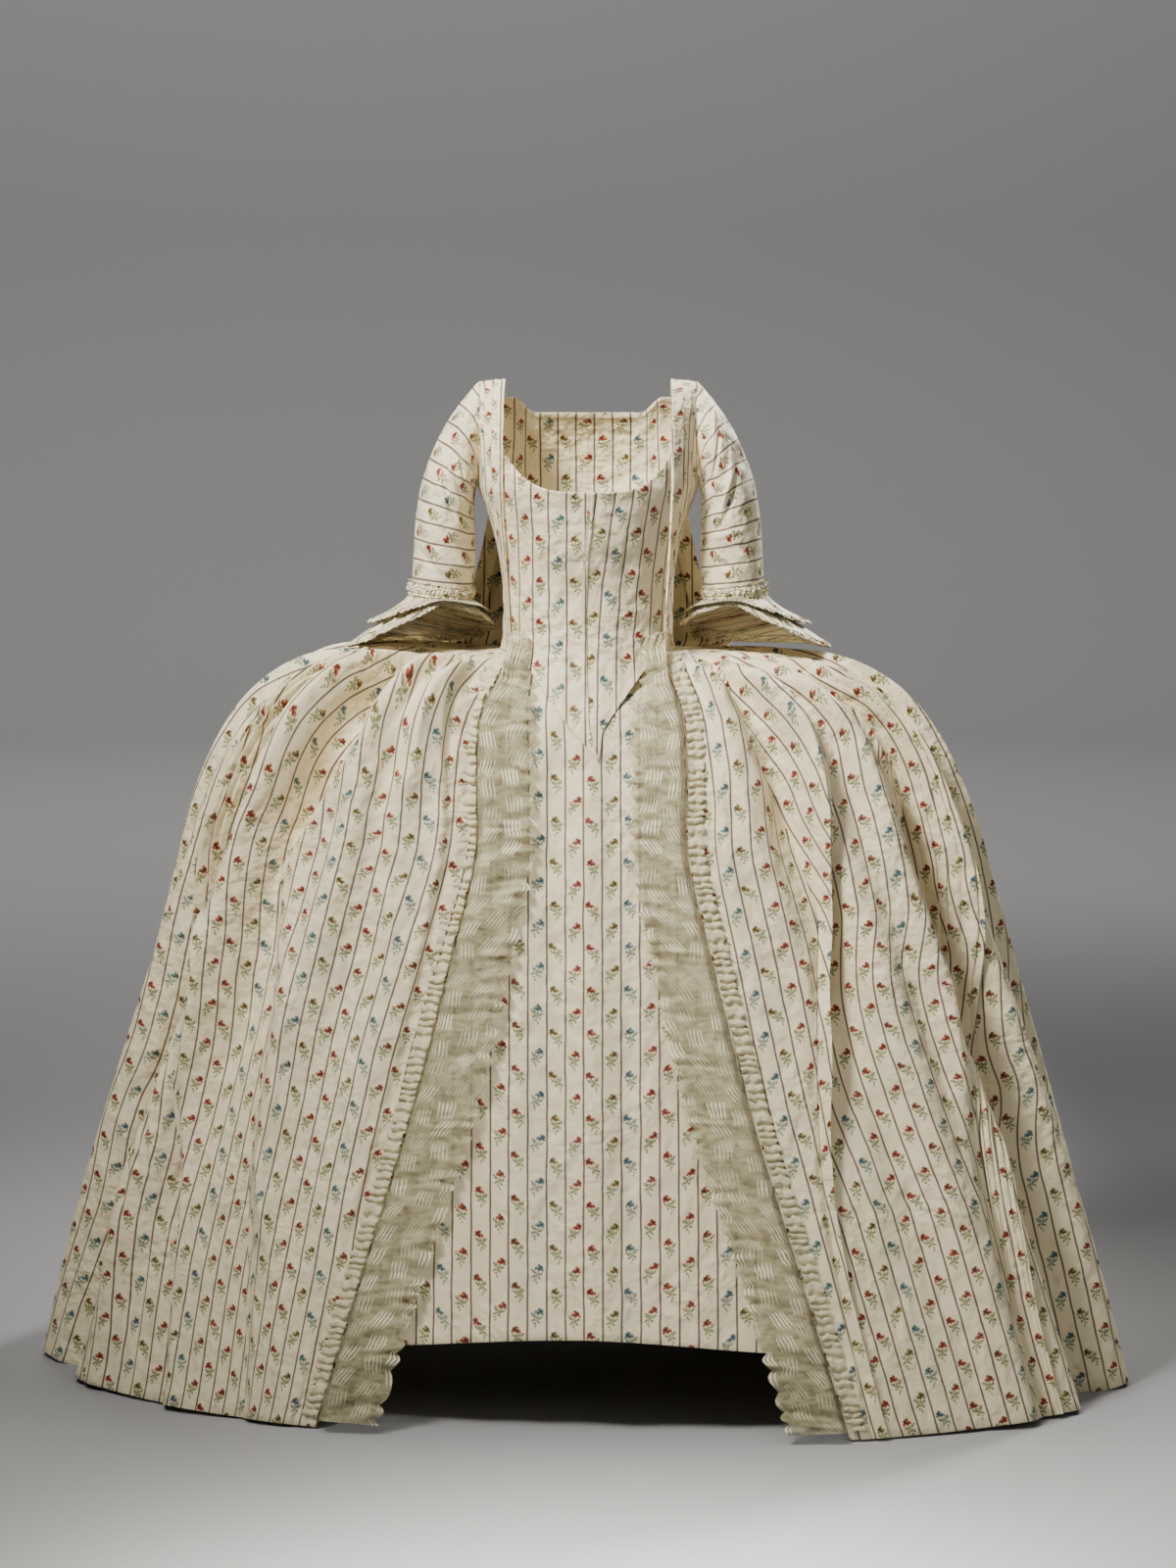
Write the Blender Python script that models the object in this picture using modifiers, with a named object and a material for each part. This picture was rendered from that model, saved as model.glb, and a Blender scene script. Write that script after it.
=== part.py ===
"""Robe a la francaise: an open silk gown over a matching petticoat, as worn over side hoops.

Blender 4.5 script in metres, +Z up, the front facing -Y. Heights are given above the ground
and the finished pieces are moved down so that the origin is at the waist.
"""
import math

import bmesh
import bpy
import numpy as np

COLLECTION = "robe_a_la_francaise"

WAIST_HEIGHT = 0.975      # ground to the waist seam
CHEST_HEIGHT = 1.190      # ground to the armpit
SHOULDER_RISE = 0.137     # armpit to the top of the shoulder
CLOTH = 0.0012            # silk wall
GAUZE = 0.0010            # gauze and ribbon wall
SEAM = 0.0004             # gap between neighbouring pieces

SHOULDER_TURN = SHOULDER_RISE * math.pi / 2
SHOULDER_LIFT = CHEST_HEIGHT + SHOULDER_TURN

# Bodice sections from the point up to the armpit.
BODICE = {
    "height":      [0.840, 0.870, 0.900, 0.930, 0.955, 0.975, 1.030, 1.080, 1.137, 1.190],
    "half_width":  [0.430, 0.360, 0.290, 0.200, 0.140, 0.1165, 0.1122, 0.1152, 0.127, 0.146],
    "front_depth": [0.1535, 0.1440, 0.1325, 0.1190, 0.1095, 0.1045, 0.1000, 0.107, 0.121, 0.131],
    "back_depth":  [0.080, 0.080, 0.080, 0.080, 0.080, 0.080, 0.079, 0.083, 0.092, 0.102],
}
SHOULDER_HALF_WIDTH = 0.153
ARMHOLE_ANGLE = 68.0      # where the armhole edge leaves the front, in degrees round the body
ARMHOLE_CORNER = 4.44     # how tightly the armhole turns at the front and back
CORNER_ANGLE = 72.7
CORNER_TURN = 0.2146      # share of the quarter turn up the shoulder where that corner lies

NECK_DROP = 0.050         # depth of the neck's rounded corners
NECK_BOTTOM = 1.186
POINT_BOTTOM = 0.839
POINT_SPREAD = 0.94       # share of the half front that the point takes up
ROBING_BACK_END = 1.330   # where the robing ends behind the shoulder, along the shoulder's turn
BACK_NECK = 1.295         # the fitted back's top edge at its centre
BACK_SHOULDER = 1.3288    # and beside the neck
STRAP_INNER = {
    "height": [0.975, 1.115, 1.190],
    "x":      [0.0985, 0.1060, 0.1085],
}

# Skirt levels from the waist to the hem: at the sides, at the front and at the back.
SKIRT = {
    "half_width":   [0.1165, 0.205, 0.325, 0.404, 0.458, 0.503, 0.543, 0.602, 0.664, 0.723],
    "side_height":  [0.9745, 0.968, 0.950, 0.914, 0.855, 0.760, 0.625, 0.430, 0.220, 0.002],
    "front_height": [0.9745, 0.938, 0.905, 0.860, 0.800, 0.715, 0.590, 0.410, 0.215, 0.002],
    "front_depth":  [0.1045, 0.1225, 0.145, 0.165, 0.185, 0.213, 0.252, 0.306, 0.366, 0.430],
    "back_height":  [0.9745, 0.965, 0.945, 0.905, 0.845, 0.755, 0.620, 0.430, 0.220, 0.002],
    "back_depth":   [0.080, 0.130, 0.180, 0.215, 0.245, 0.280, 0.335, 0.405, 0.480, 0.555],
    "front_edge":   [0.098, 0.110, 0.127, 0.135, 0.136, 0.137, 0.167, 0.213, 0.273, 0.339],
    "gauze_width":  [0.010, 0.036, 0.062, 0.069, 0.070, 0.072, 0.078, 0.083, 0.079, 0.077],
    "back_angle":   [150.0, 144.0, 132.5, 136.0, 140.0, 143.0, 146.0, 149.0, 151.0, 152.0],
    "shift":        [0.000, -0.004, -0.008, -0.008, -0.008, -0.008, -0.008, -0.008, -0.008, -0.008],
}
LEVELS = 9
SKIRT_SWING = 0.09        # how far the hem swings forward on the right, for its half width
SKIRT_BACKSET = 0.030     # how far back the hem is centred behind the waist
RIBBON_WIDTH = 0.024
GOWN_COLUMNS = 36
PETTICOAT_HEM = 8.42      # level of the petticoat's hem
PETTICOAT_GAP = 0.0098
PETTICOAT_SIDE_GAP = 0.055
PETTICOAT_ROWS = 12
PETTICOAT_SEAM = 0.40     # half the seam between two widths at the waist, in degrees
PETTICOAT_WIDTHS = [      # six widths of silk: first and last degree round from the front, columns
    ("petticoat_front", -38, 38, 7),
    ("petticoat_front_side_right", 38, 90, 5),
    ("petticoat_back_side_right", 90, 142, 3),
    ("petticoat_back", 142, 218, 5),
    ("petticoat_back_side_left", 218, 270, 3),
    ("petticoat_front_side_left", 270, 322, 5),
]

# Sack back, one row from the neck (0) to the waist (3) and the hem (12): its centre, and its free
# outer edge down to where that joins the skirt.
SACK = {
    "centre_height": [1.285, 1.200, 1.090, 0.990, 0.960, 0.935, 0.900, 0.845, 0.755, 0.620, 0.430, 0.220, 0.002],
    "centre_y":      [0.0765, 0.118, 0.163, 0.204, 0.217, 0.227, 0.241, 0.264, 0.301, 0.357, 0.430, 0.508, 0.586],
    "edge_x":        [0.106, 0.125, 0.148, 0.180, 0.211, 0.245],
    "edge_y":        [0.056, 0.085, 0.120, 0.148, 0.152, 0.130],
    "edge_height":   [1.285, 1.200, 1.085, 0.990, 0.966, 0.950],
}
SACK_WAIST = 3
SACK_JOIN = 5             # the row from which the sack's edge is sewn to the skirt
SACK_ROUNDNESS = 2.5
SACK_ROWS = 15
SACK_BODICE_ROWS = 5      # how many of them lie above the waist
SACK_PLEATS = [           # box pleats: inner edge, outer edge and height
    (0.03, 0.86, 0.006),
    (0.18, 0.68, 0.005),
]

# Sleeve sections from the armhole to the elbow.
SLEEVE = {
    "outer_x":  [0.1445, 0.168, 0.193, 0.216, 0.227, 0.231, 0.234],
    "outer_h":  [1.327, 1.300, 1.262, 1.208, 1.155, 1.100, 1.048],
    "inner_x":  [0.1485, 0.1500, 0.1510, 0.1505, 0.1495, 0.1510, 0.156],
    "inner_h":  [1.190, 1.178, 1.160, 1.138, 1.112, 1.078, 1.042],
    "depth":    [0.050, 0.056, 0.058, 0.058, 0.056, 0.053, 0.050],
    "centre_y": [0.000, 0.000, 0.000, 0.000, -0.001, -0.002, -0.003],
}
SLEEVE_ROWS = 6

# Cuff flounce: how far it reaches out and drops, by angle round the arm from the outer side.
CUFF = {
    "angle": [0, 45, 90, 135, 180, 225, 270, 315],
    "reach": [0.080, 0.048, 0.012, 0.018, 0.026, 0.048, 0.080, 0.098],
    "drop":  [0.070, 0.046, 0.020, 0.026, 0.034, 0.052, 0.070, 0.074],
}
CUFF_WAVES = 7
CUFF_WAVE_DEPTH = 0.005
CUFF_UPPER_SHARE = 0.60   # how far down the lower layer the upper one reaches
CUFF_UPPER_LIFT = 0.006   # how far it stands off it

# Skirt folds: place across the panel at the waist and at the hem, half width there, rise over
# the smooth skirt, and the levels where the fold starts, is full and fades.
FOLDS_RIGHT = [
    {"top": 0.10, "hem": 0.085, "width": 0.045, "rise": 0.010, "start": 0.6, "full": 2.0, "fade": 6.5},
    {"top": 0.16, "hem": 0.125, "width": 0.050, "rise": -0.012, "start": 1.0, "full": 2.5, "fade": 8.0},
    {"top": 0.22, "hem": 0.180, "width": 0.050, "rise": 0.015, "start": 1.2, "full": 3.0, "fade": 9.5},
    {"top": 0.30, "hem": 0.260, "width": 0.050, "rise": 0.014, "start": 1.0, "full": 3.0, "fade": 20},
    {"top": 0.37, "hem": 0.340, "width": 0.075, "rise": -0.042, "start": 4.0, "full": 9.5, "fade": 20},
    {"top": 0.36, "hem": 0.330, "width": 0.040, "rise": -0.010, "start": 1.5, "full": 3.0, "fade": 6.0},
    {"top": 0.42, "hem": 0.430, "width": 0.045, "rise": 0.010, "start": 1.6, "full": 4.0, "fade": 9.5},
    {"top": 0.50, "hem": 0.500, "width": 0.040, "rise": -0.010, "start": 1.8, "full": 3.3, "fade": 20},
    {"top": 0.58, "hem": 0.570, "width": 0.045, "rise": 0.010, "start": 1.6, "full": 3.1, "fade": 9.5},
    {"top": 0.66, "hem": 0.650, "width": 0.040, "rise": -0.010, "start": 1.6, "full": 3.1, "fade": 20},
    {"top": 0.75, "hem": 0.740, "width": 0.050, "rise": 0.012, "start": 1.4, "full": 2.9, "fade": 9.5},
    {"top": 0.87, "hem": 0.870, "width": 0.050, "rise": 0.012, "start": 1.4, "full": 2.9, "fade": 9.5},
]
FOLDS_LEFT = [
    {"top": 0.10, "hem": 0.085, "width": 0.045, "rise": 0.009, "start": 0.6, "full": 2.0, "fade": 5.5},
    {"top": 0.18, "hem": 0.140, "width": 0.050, "rise": 0.013, "start": 1.0, "full": 2.5, "fade": 7.0},
    {"top": 0.26, "hem": 0.230, "width": 0.045, "rise": -0.008, "start": 1.2, "full": 2.7, "fade": 8.0},
    {"top": 0.33, "hem": 0.300, "width": 0.050, "rise": 0.013, "start": 1.2, "full": 2.7, "fade": 9.5},
    {"top": 0.40, "hem": 0.370, "width": 0.055, "rise": -0.026, "start": 4.0, "full": 9.5, "fade": 20},
    {"top": 0.41, "hem": 0.380, "width": 0.035, "rise": -0.008, "start": 1.5, "full": 3.0, "fade": 7.0},
    {"top": 0.48, "hem": 0.460, "width": 0.040, "rise": 0.008, "start": 1.6, "full": 3.1, "fade": 9.5},
    {"top": 0.56, "hem": 0.530, "width": 0.040, "rise": -0.010, "start": 1.8, "full": 3.3, "fade": 20},
    {"top": 0.64, "hem": 0.620, "width": 0.050, "rise": 0.010, "start": 1.6, "full": 3.1, "fade": 9.5},
    {"top": 0.75, "hem": 0.740, "width": 0.050, "rise": 0.012, "start": 1.4, "full": 2.9, "fade": 9.5},
    {"top": 0.87, "hem": 0.870, "width": 0.050, "rise": 0.012, "start": 1.4, "full": 2.9, "fade": 9.5},
]
GAUZE_WAVES = 28
RIBBON_PLEATS = 34
BAND_GATHERS = 12
BAND_GATHER_DEPTH = 0.0010
BAND_LIFT = 0.0026
BAND_ROWS = 0.34          # the band's height in sleeve rows


def smooth(values, at):
    """Catmull-Rom curve through evenly numbered rows."""
    rows = np.asarray(values, float)
    at = np.clip(np.asarray(at, float), 0.0, len(rows) - 1.0)
    low = np.minimum(at.astype(int), len(rows) - 2)
    t = at - low
    before = np.where(low > 0, rows[np.maximum(low - 1, 0)], 2 * rows[low] - rows[low + 1])
    last = np.minimum(low + 2, len(rows) - 1)
    after = np.where(low + 2 < len(rows), rows[last], 2 * rows[low + 1] - rows[low])
    here, there = rows[low], rows[low + 1]
    slope_here, slope_there = (there - before) / 2, (after - here) / 2
    return (here * (2 * t**3 - 3 * t**2 + 1) + there * (3 * t**2 - 2 * t**3)
            + slope_here * (t**3 - 2 * t**2 + t) + slope_there * (t**3 - t**2))


def by_height(table, column, height):
    """A table's column read at a height through its smooth rows."""
    row = np.interp(height, table["height"], np.arange(len(table["height"])))
    return smooth(table[column], row)


def ease(value):
    """A soft step from 0 to 1."""
    value = np.clip(value, 0.0, 1.0)
    return value * value * (3 - 2 * value)


def bodice(angle, lift):
    """A point of the bodice: degrees round from the front, and length up from the ground
    that runs on over the shoulder's turn above the armpit."""
    turn = np.clip((lift - CHEST_HEIGHT) / SHOULDER_RISE, 0.0, math.pi / 2)
    height = np.minimum(lift, CHEST_HEIGHT)
    width = by_height(BODICE, "half_width", height)
    width = width + (SHOULDER_HALF_WIDTH - width) * np.sin(turn) * (lift > CHEST_HEIGHT)
    radians = np.radians(angle)
    depth = np.where(angle < 90, by_height(BODICE, "front_depth", height),
                     by_height(BODICE, "back_depth", height))
    y = -depth * np.cos(turn) * np.cos(radians)
    return np.stack([width * np.sin(radians), y, height + SHOULDER_RISE * np.sin(turn)], axis=-1)


def angle_of_x(x, lift):
    """Degrees round the bodice's front where it is this far from the centre."""
    turn = np.clip((lift - CHEST_HEIGHT) / SHOULDER_RISE, 0.0, math.pi / 2)
    width = by_height(BODICE, "half_width", np.minimum(lift, CHEST_HEIGHT))
    width = width + (SHOULDER_HALF_WIDTH - width) * np.sin(turn) * (lift > CHEST_HEIGHT)
    return np.degrees(np.arcsin(np.clip(x / width, 0.0, 1.0)))


def strap_inner(lift):
    """Degrees round to the robing's inner edge."""
    x = np.interp(lift, STRAP_INNER["height"], STRAP_INNER["x"])
    return angle_of_x(x, lift)


def armhole_edge(lift):
    """Degrees round to the bodice's edge at the arm, down to the armhole's corner and below it."""
    up = np.clip((lift - CHEST_HEIGHT) / SHOULDER_TURN, 0.0, 1.0)
    power = 2 / ARMHOLE_CORNER
    across = (1 - np.maximum(up, CORNER_TURN) ** power) ** (1 / power)
    above = ARMHOLE_ANGLE + (90 - ARMHOLE_ANGLE) * across
    below = np.interp(lift, [WAIST_HEIGHT, CHEST_HEIGHT], [79.0, CORNER_ANGLE])
    return np.where(up > CORNER_TURN, above, below)


def armhole_lift(angle):
    """Length up to the armhole's bottom edge between its front and back corners."""
    across = (90 - np.abs(90 - angle) - ARMHOLE_ANGLE) / (90 - ARMHOLE_ANGLE)
    power = 2 / ARMHOLE_CORNER
    up = (1 - np.clip(across, CORNER_TURN, 1.0) ** power) ** (1 / power)
    return CHEST_HEIGHT + SHOULDER_TURN * up


def armhole(round_arm):
    """The armhole's closed edge by degrees round the arm, from the shoulder down the front."""
    turned = np.mod(round_arm, 360.0)
    down = np.radians(np.where(turned <= 180, turned, 360 - turned) / 2)
    up = np.cos(down) ** ARMHOLE_CORNER
    across = np.sin(down) ** ARMHOLE_CORNER
    angle = ARMHOLE_ANGLE + (90 - ARMHOLE_ANGLE) * across
    angle = np.where(turned <= 180, angle, 180 - angle)
    return bodice(angle, CHEST_HEIGHT + SHOULDER_TURN * up)


def skirt_ring(angle, level):
    """The smooth skirt: degrees round from the front, and level from the waist to the hem."""
    radians = np.radians(angle)
    front = angle < 90
    share = np.sin(radians) ** 2
    side = smooth(SKIRT["side_height"], level)
    end = np.where(front, smooth(SKIRT["front_height"], level), smooth(SKIRT["back_height"], level))
    depth = np.where(front, smooth(SKIRT["front_depth"], level), smooth(SKIRT["back_depth"], level))
    back = SKIRT_BACKSET * np.asarray(level) / LEVELS
    x = smooth(SKIRT["half_width"], level) * np.sin(radians)
    return np.stack([x, back - depth * np.cos(radians), end + (side - end) * share], axis=-1)


def moved_out(surface, a, b, distance, step=(0.2, 0.02)):
    """Points of a surface moved along its outward normal; b runs down, or its step is negative."""
    point = surface(a, b)
    along_a = surface(a + step[0], b) - surface(a - step[0], b)
    along_b = surface(a, b + step[1]) - surface(a, b - step[1])
    normal = np.cross(along_a, along_b)
    normal /= np.maximum(np.linalg.norm(normal, axis=-1, keepdims=True), 1e-12)
    return point - normal * np.asarray(distance)[..., None]


def skirt_front_angle(level, inward=0.0):
    """Degrees round to the gown's front edge, or to a line that far inside it."""
    edge = smooth(SKIRT["front_edge"], level) - inward
    return np.degrees(np.arcsin(edge / smooth(SKIRT["half_width"], level)))


def placed(points, side, level=None):
    """One side's points put on the left or right, with the skirt's small shift and swing."""
    points = points.copy()
    points[..., 0] *= side
    if level is not None:
        points[..., 1] -= SKIRT_SWING * np.asarray(level) / LEVELS * points[..., 0]
        points[..., 0] += smooth(SKIRT["shift"], level)
    points[..., 2] -= WAIST_HEIGHT
    return points


def sheet(name, columns, rows, surface, wall, core, join=False):
    """A wall on a grid that surface(u, v) maps to its place; core is the line it faces away from."""
    mesh_object(name, grid_mesh(columns, rows, surface, core, join), wall)


def grid_mesh(columns, rows, surface, core, join):
    """The grid as a mesh with its faces turned away from the core."""
    mesh = bmesh.new()
    bmesh.ops.create_grid(mesh, x_segments=columns, y_segments=rows, size=0.5)
    verts = list(mesh.verts)
    flat = np.array([vert.co[:2] for vert in verts]) + 0.5
    for vert, point in zip(verts, surface(flat[:, 0], flat[:, 1])):
        vert.co = point
    if join:
        bmesh.ops.remove_doubles(mesh, verts=mesh.verts, dist=0.00005)
    mesh.normal_update()
    centre = np.array(core)
    outward = 0.0
    for face in mesh.faces:
        away = np.array(face.calc_center_median()[:2]) - centre
        outward += face.calc_area() * float(np.dot(away, face.normal[:2]))
    if outward < 0:
        bmesh.ops.reverse_faces(mesh, faces=mesh.faces)
    return mesh


def mesh_object(name, mesh, wall):
    """An object of that mesh with a wall on its inner side."""
    data = bpy.data.meshes.new(name)
    mesh.to_mesh(data)
    mesh.free()
    item = bpy.data.objects.new(name, data)
    bpy.data.collections[COLLECTION].objects.link(item)
    item.data.materials.append(bpy.data.materials[material_of(name)])
    shell = item.modifiers.new("wall", "SOLIDIFY")
    shell.thickness = wall
    shell.offset = -1.0
    return item


MATERIALS = {
    "silk": {"colour": (0.86, 0.82, 0.72), "roughness": 0.55},
    "gauze": {"colour": (0.74, 0.71, 0.56), "roughness": 0.80},
    "ribbon": {"colour": (0.86, 0.83, 0.72), "roughness": 0.50},
}


def material_of(name):
    """The material that a piece's name calls for."""
    for word in ("gauze", "ribbon"):
        if name.startswith(word):
            return word
    return "silk"


def make_materials():
    """One plain material for each kind of cloth."""
    for name, look in MATERIALS.items():
        material = bpy.data.materials.new(name)
        material.use_nodes = True
        shader = material.node_tree.nodes["Principled BSDF"]
        shader.inputs["Base Color"].default_value = (*look["colour"], 1.0)
        shader.inputs["Roughness"].default_value = look["roughness"]
        shader.inputs["Metallic"].default_value = 0.0


def bodice_front(side, name):
    """One half of the closed front, with its neck edge and its half of the long point."""
    def surface(u, v):
        x = SEAM / 2 + u * (STRAP_INNER["x"][0] - SEAM)
        low = POINT_BOTTOM + (WAIST_HEIGHT - POINT_BOTTOM) * np.minimum(u / POINT_SPREAD, 1) ** 0.9
        high = NECK_BOTTOM + NECK_DROP * u ** 4
        lift = low + (high - low) * v
        x = x * np.interp(lift, STRAP_INNER["height"], STRAP_INNER["x"]) / STRAP_INNER["x"][0]
        return placed(bodice(angle_of_x(x, lift), lift), side)
    sheet(name, 8, 12, surface, CLOTH, (0, 0))


def robing(side, name):
    """The strip from the waist up beside the front, over the shoulder to the back."""
    top = SHOULDER_LIFT
    length = (top - WAIST_HEIGHT) + (top - ROBING_BACK_END)

    def surface(u, v):
        run = WAIST_HEIGHT + v * length
        over = run > top
        lift = np.where(over, 2 * top - run, run)
        inner = strap_inner(lift) + 0.5
        angle = inner + u * (armhole_edge(lift) - inner)
        return placed(bodice(np.where(over, 180 - angle, angle), lift), side)
    sheet(name, 2, 18, surface, CLOTH, (0, 0))


def bodice_side(side, name):
    """The panel under the arm, from the robing to the back."""
    def surface(u, v):
        corner = armhole_edge(CHEST_HEIGHT)
        level_angle = 90 + (2 * u - 1) * (90 - corner)
        high = armhole_lift(level_angle)
        lift = WAIST_HEIGHT + (high - WAIST_HEIGHT) * v
        edge = armhole_edge(np.minimum(lift, CHEST_HEIGHT)) + 0.2
        return placed(bodice(90 + (2 * u - 1) * (90 - edge), lift), side)
    sheet(name, 6, 8, surface, CLOTH, (0, 0))


def bodice_back(side, name):
    """The fitted back that lies under the sack's pleats."""
    def surface(u, v):
        high = BACK_NECK + (BACK_SHOULDER - BACK_NECK) * ease((u - 0.40) / 0.20)
        lift = WAIST_HEIGHT + (high - WAIST_HEIGHT) * v
        edge = armhole_edge(lift) - 0.2
        return placed(bodice(180 - 0.1 - u * (edge - 0.1), lift), side)
    sheet(name, 8, 8, surface, CLOTH, (0, 0))


def sleeve_point(round_arm, row):
    """The sleeve: degrees round from the outer side over the front, and row down the arm."""
    radians = np.radians(round_arm)
    column = {key: smooth(SLEEVE[key], row) for key in SLEEVE}
    share = (1 + np.cos(radians)) / 2
    x = column["inner_x"] + (column["outer_x"] - column["inner_x"]) * share
    height = column["inner_h"] + (column["outer_h"] - column["inner_h"]) * share
    y = column["centre_y"] - column["depth"] * np.sin(radians)
    section = np.stack([x, y, height], axis=-1)
    start = {key: SLEEVE[key][0] for key in SLEEVE}
    first = np.stack([start["inner_x"] + (start["outer_x"] - start["inner_x"]) * share,
                      -start["depth"] * np.sin(radians),
                      start["inner_h"] + (start["outer_h"] - start["inner_h"]) * share], axis=-1)
    edge = armhole(round_arm)
    edge[..., 0] += 3 * SEAM
    fade = np.clip(1 - np.asarray(row) / 1.5, 0.0, 1.0) ** 2
    return section + (edge - first) * fade[..., None]


def sleeve(side, name):
    """The elbow-length sleeve."""
    def surface(u, v):
        return placed(sleeve_point(360 * u, SLEEVE_ROWS * v), side)
    sheet(name, 20, 8, surface, CLOTH, (side * 0.190, 0), join=True)


def sleeve_band(side, name):
    """The shirred band round the sleeve's end."""
    def surface(u, v):
        row = SLEEVE_ROWS - BAND_ROWS * (1 - v)
        gather = BAND_GATHER_DEPTH * np.cos(2 * math.pi * BAND_GATHERS * u)
        point = sleeve_point(360 * u, row)
        centre = np.array([0.1945, -0.003])
        away = point[..., :2] - centre
        away /= np.linalg.norm(away, axis=-1, keepdims=True)
        point[..., :2] += away * (BAND_LIFT + gather)[..., None]
        return placed(point, side)
    sheet(name, 3 * BAND_GATHERS, 1, surface, CLOTH, (side * 0.190, 0), join=True)


def cuff_column(column, round_arm):
    """The cuff table read round the arm as a closed curve."""
    values = CUFF[column]
    wrapped = values[-1:] + values + values[:2]
    return smooth(wrapped, np.mod(round_arm, 360.0) / 45.0 + 1)


def cuff_point(round_arm, down, share, lifted):
    """The flounce hanging from the sleeve's end, short in the crook and long at the elbow."""
    top = sleeve_point(round_arm, np.full_like(round_arm, SLEEVE_ROWS))
    radians = np.radians(round_arm)
    away = np.stack([np.cos(radians), -np.sin(radians)], axis=-1)
    spread = share * down
    wave = CUFF_WAVE_DEPTH * down**1.5 * np.cos(CUFF_WAVES * radians)
    wave = wave * np.clip(cuff_column("reach", round_arm) / 0.05, 0.1, 1.0)
    flare = np.sin(np.clip(spread * 1.2, 0, 1) * math.pi / 2)
    out = cuff_column("reach", round_arm) * (0.35 * spread + 0.65 * flare * spread) + wave
    point = top.copy()
    point[..., :2] += away * (out + lifted * (0.4 + down))[..., None]
    point[..., 2] -= SEAM + cuff_column("drop", round_arm) * spread - 0.6 * lifted * down
    return point


def cuff_flounce(side, name, share, lifted):
    """One layer of the cuff."""
    def surface(u, v):
        return placed(cuff_point(360 * u, v, share, lifted), side)
    sheet(name, 28, 3, surface, CLOTH, (side * 0.190, 0), join=True)


def fold_relief(folds, across, level):
    """The height of the skirt's folds over its smooth surface."""
    relief = np.zeros_like(across)
    for fold in folds:
        centre = fold["top"] + (fold["hem"] - fold["top"]) * level / LEVELS
        near = np.clip(np.abs(across - centre) / fold["width"], 0.0, 1.0)
        shape = (np.cos(near * math.pi) + 1) / 2
        grow = ease((level - fold["start"]) / (fold["full"] - fold["start"]))
        grow = grow * ease((fold["fade"] - level) / 2.5 + 0.4)
        relief = relief + fold["rise"] * shape * grow
    return relief


def gown_angle(across, level):
    """Degrees round the skirt for a place across the gown's panel."""
    first = skirt_front_angle(level)
    last = smooth(SKIRT["back_angle"], level) - 0.15
    return first + across * (last - first)


def gown_skirt(side, name, folds):
    """One side of the open gown skirt, from its front edge round to the sack back."""
    def surface(u, v):
        level = LEVELS * v
        first = 1 / GOWN_COLUMNS
        hemmed = RIBBON_WIDTH / (smooth(SKIRT["half_width"], level) * 1.45) + 0.01
        across = np.where(u < first, u / first * hemmed,
                          hemmed + (u - first) * (1 - hemmed) / (1 - first))
        angle = gown_angle(across, level)
        point = moved_out(skirt_ring, angle, level, fold_relief(folds, across, level))
        return placed(point, side, level)
    sheet(name, GOWN_COLUMNS, 14, surface, CLOTH, (0, 0.03))


def petticoat_point(angle, level):
    """The petticoat: just inside the gown's skirt."""
    gap = PETTICOAT_GAP + PETTICOAT_SIDE_GAP * np.sin(np.radians(angle)) ** 2
    gap = gap * np.clip(0.55 + level / 3, 0.0, 1.0)
    return moved_out(skirt_ring, angle, level, -gap)


def petticoat(name, first, last, columns):
    """A width of the petticoat between two angles, 0 at the front and 180 at the back."""
    def surface(u, v):
        seam = PETTICOAT_SEAM / (1 + 2.5 * v)
        turned = first + seam + u * (last - first - 2 * seam)
        hem = PETTICOAT_HEM + 0.10 * np.sin(np.radians(turned * 3)) ** 2
        level = 0.06 + (hem - 0.06) * v
        side = np.where(np.mod(turned, 360) < 180, 1.0, -1.0)
        angle = np.where(side > 0, np.mod(turned, 360), 360 - np.mod(turned, 360))
        point = petticoat_point(angle, level)
        point[..., 0] *= side
        return placed(point, 1, level)
    sheet(name, columns, PETTICOAT_ROWS, surface, CLOTH, (0, 0.03))


def gauze_flounce(side, name):
    """The ruffled gauze along the gown's front edge."""
    def surface(u, v):
        level = 0.8 + (LEVELS - 0.8) * v
        beat = 2 * math.pi * GAUZE_WAVES * v
        width = smooth(SKIRT["gauze_width"], level)
        inward = SEAM * 2 + u * width + 0.004 * u**2 * np.cos(beat)
        relief = 0.0015 + 0.0045 * u * np.sin(beat)
        angle = skirt_front_angle(level, inward)
        return placed(moved_out(skirt_ring, angle, level, relief), side, level)
    sheet(name, 2, 3 * GAUZE_WAVES, surface, GAUZE, (0, 0.03))


def ribbon_ruche(side, name):
    """The pleated ribbon on the gown's front edge."""
    def surface(u, v):
        level = 0.35 + (LEVELS - 0.40) * v
        beat = v * RIBBON_PLEATS
        pleat = 0.0012 * np.cos(2 * math.pi * beat)
        angle = skirt_front_angle(level, -0.0015 - u * RIBBON_WIDTH)
        return placed(moved_out(skirt_ring, angle, level, 0.0048 + pleat), side, level)
    sheet(name, 1, 3 * RIBBON_PLEATS, surface, GAUZE, (0, 0.03))


def sack_edge(run):
    """The sack's outer edge, free of the bodice above and sewn to the gown's skirt below."""
    free = np.stack([smooth(SACK[column], np.minimum(run, SACK_JOIN))
                     for column in ("edge_x", "edge_y", "edge_height")], axis=-1)
    level = np.clip(run - SACK_WAIST, 0, LEVELS)
    sewn = skirt_ring(smooth(SKIRT["back_angle"], level) + 0.15, level)
    joined = ease((run - SACK_JOIN + 1.4) / 1.4)[..., None]
    return free * (1 - joined) + sewn * joined


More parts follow.
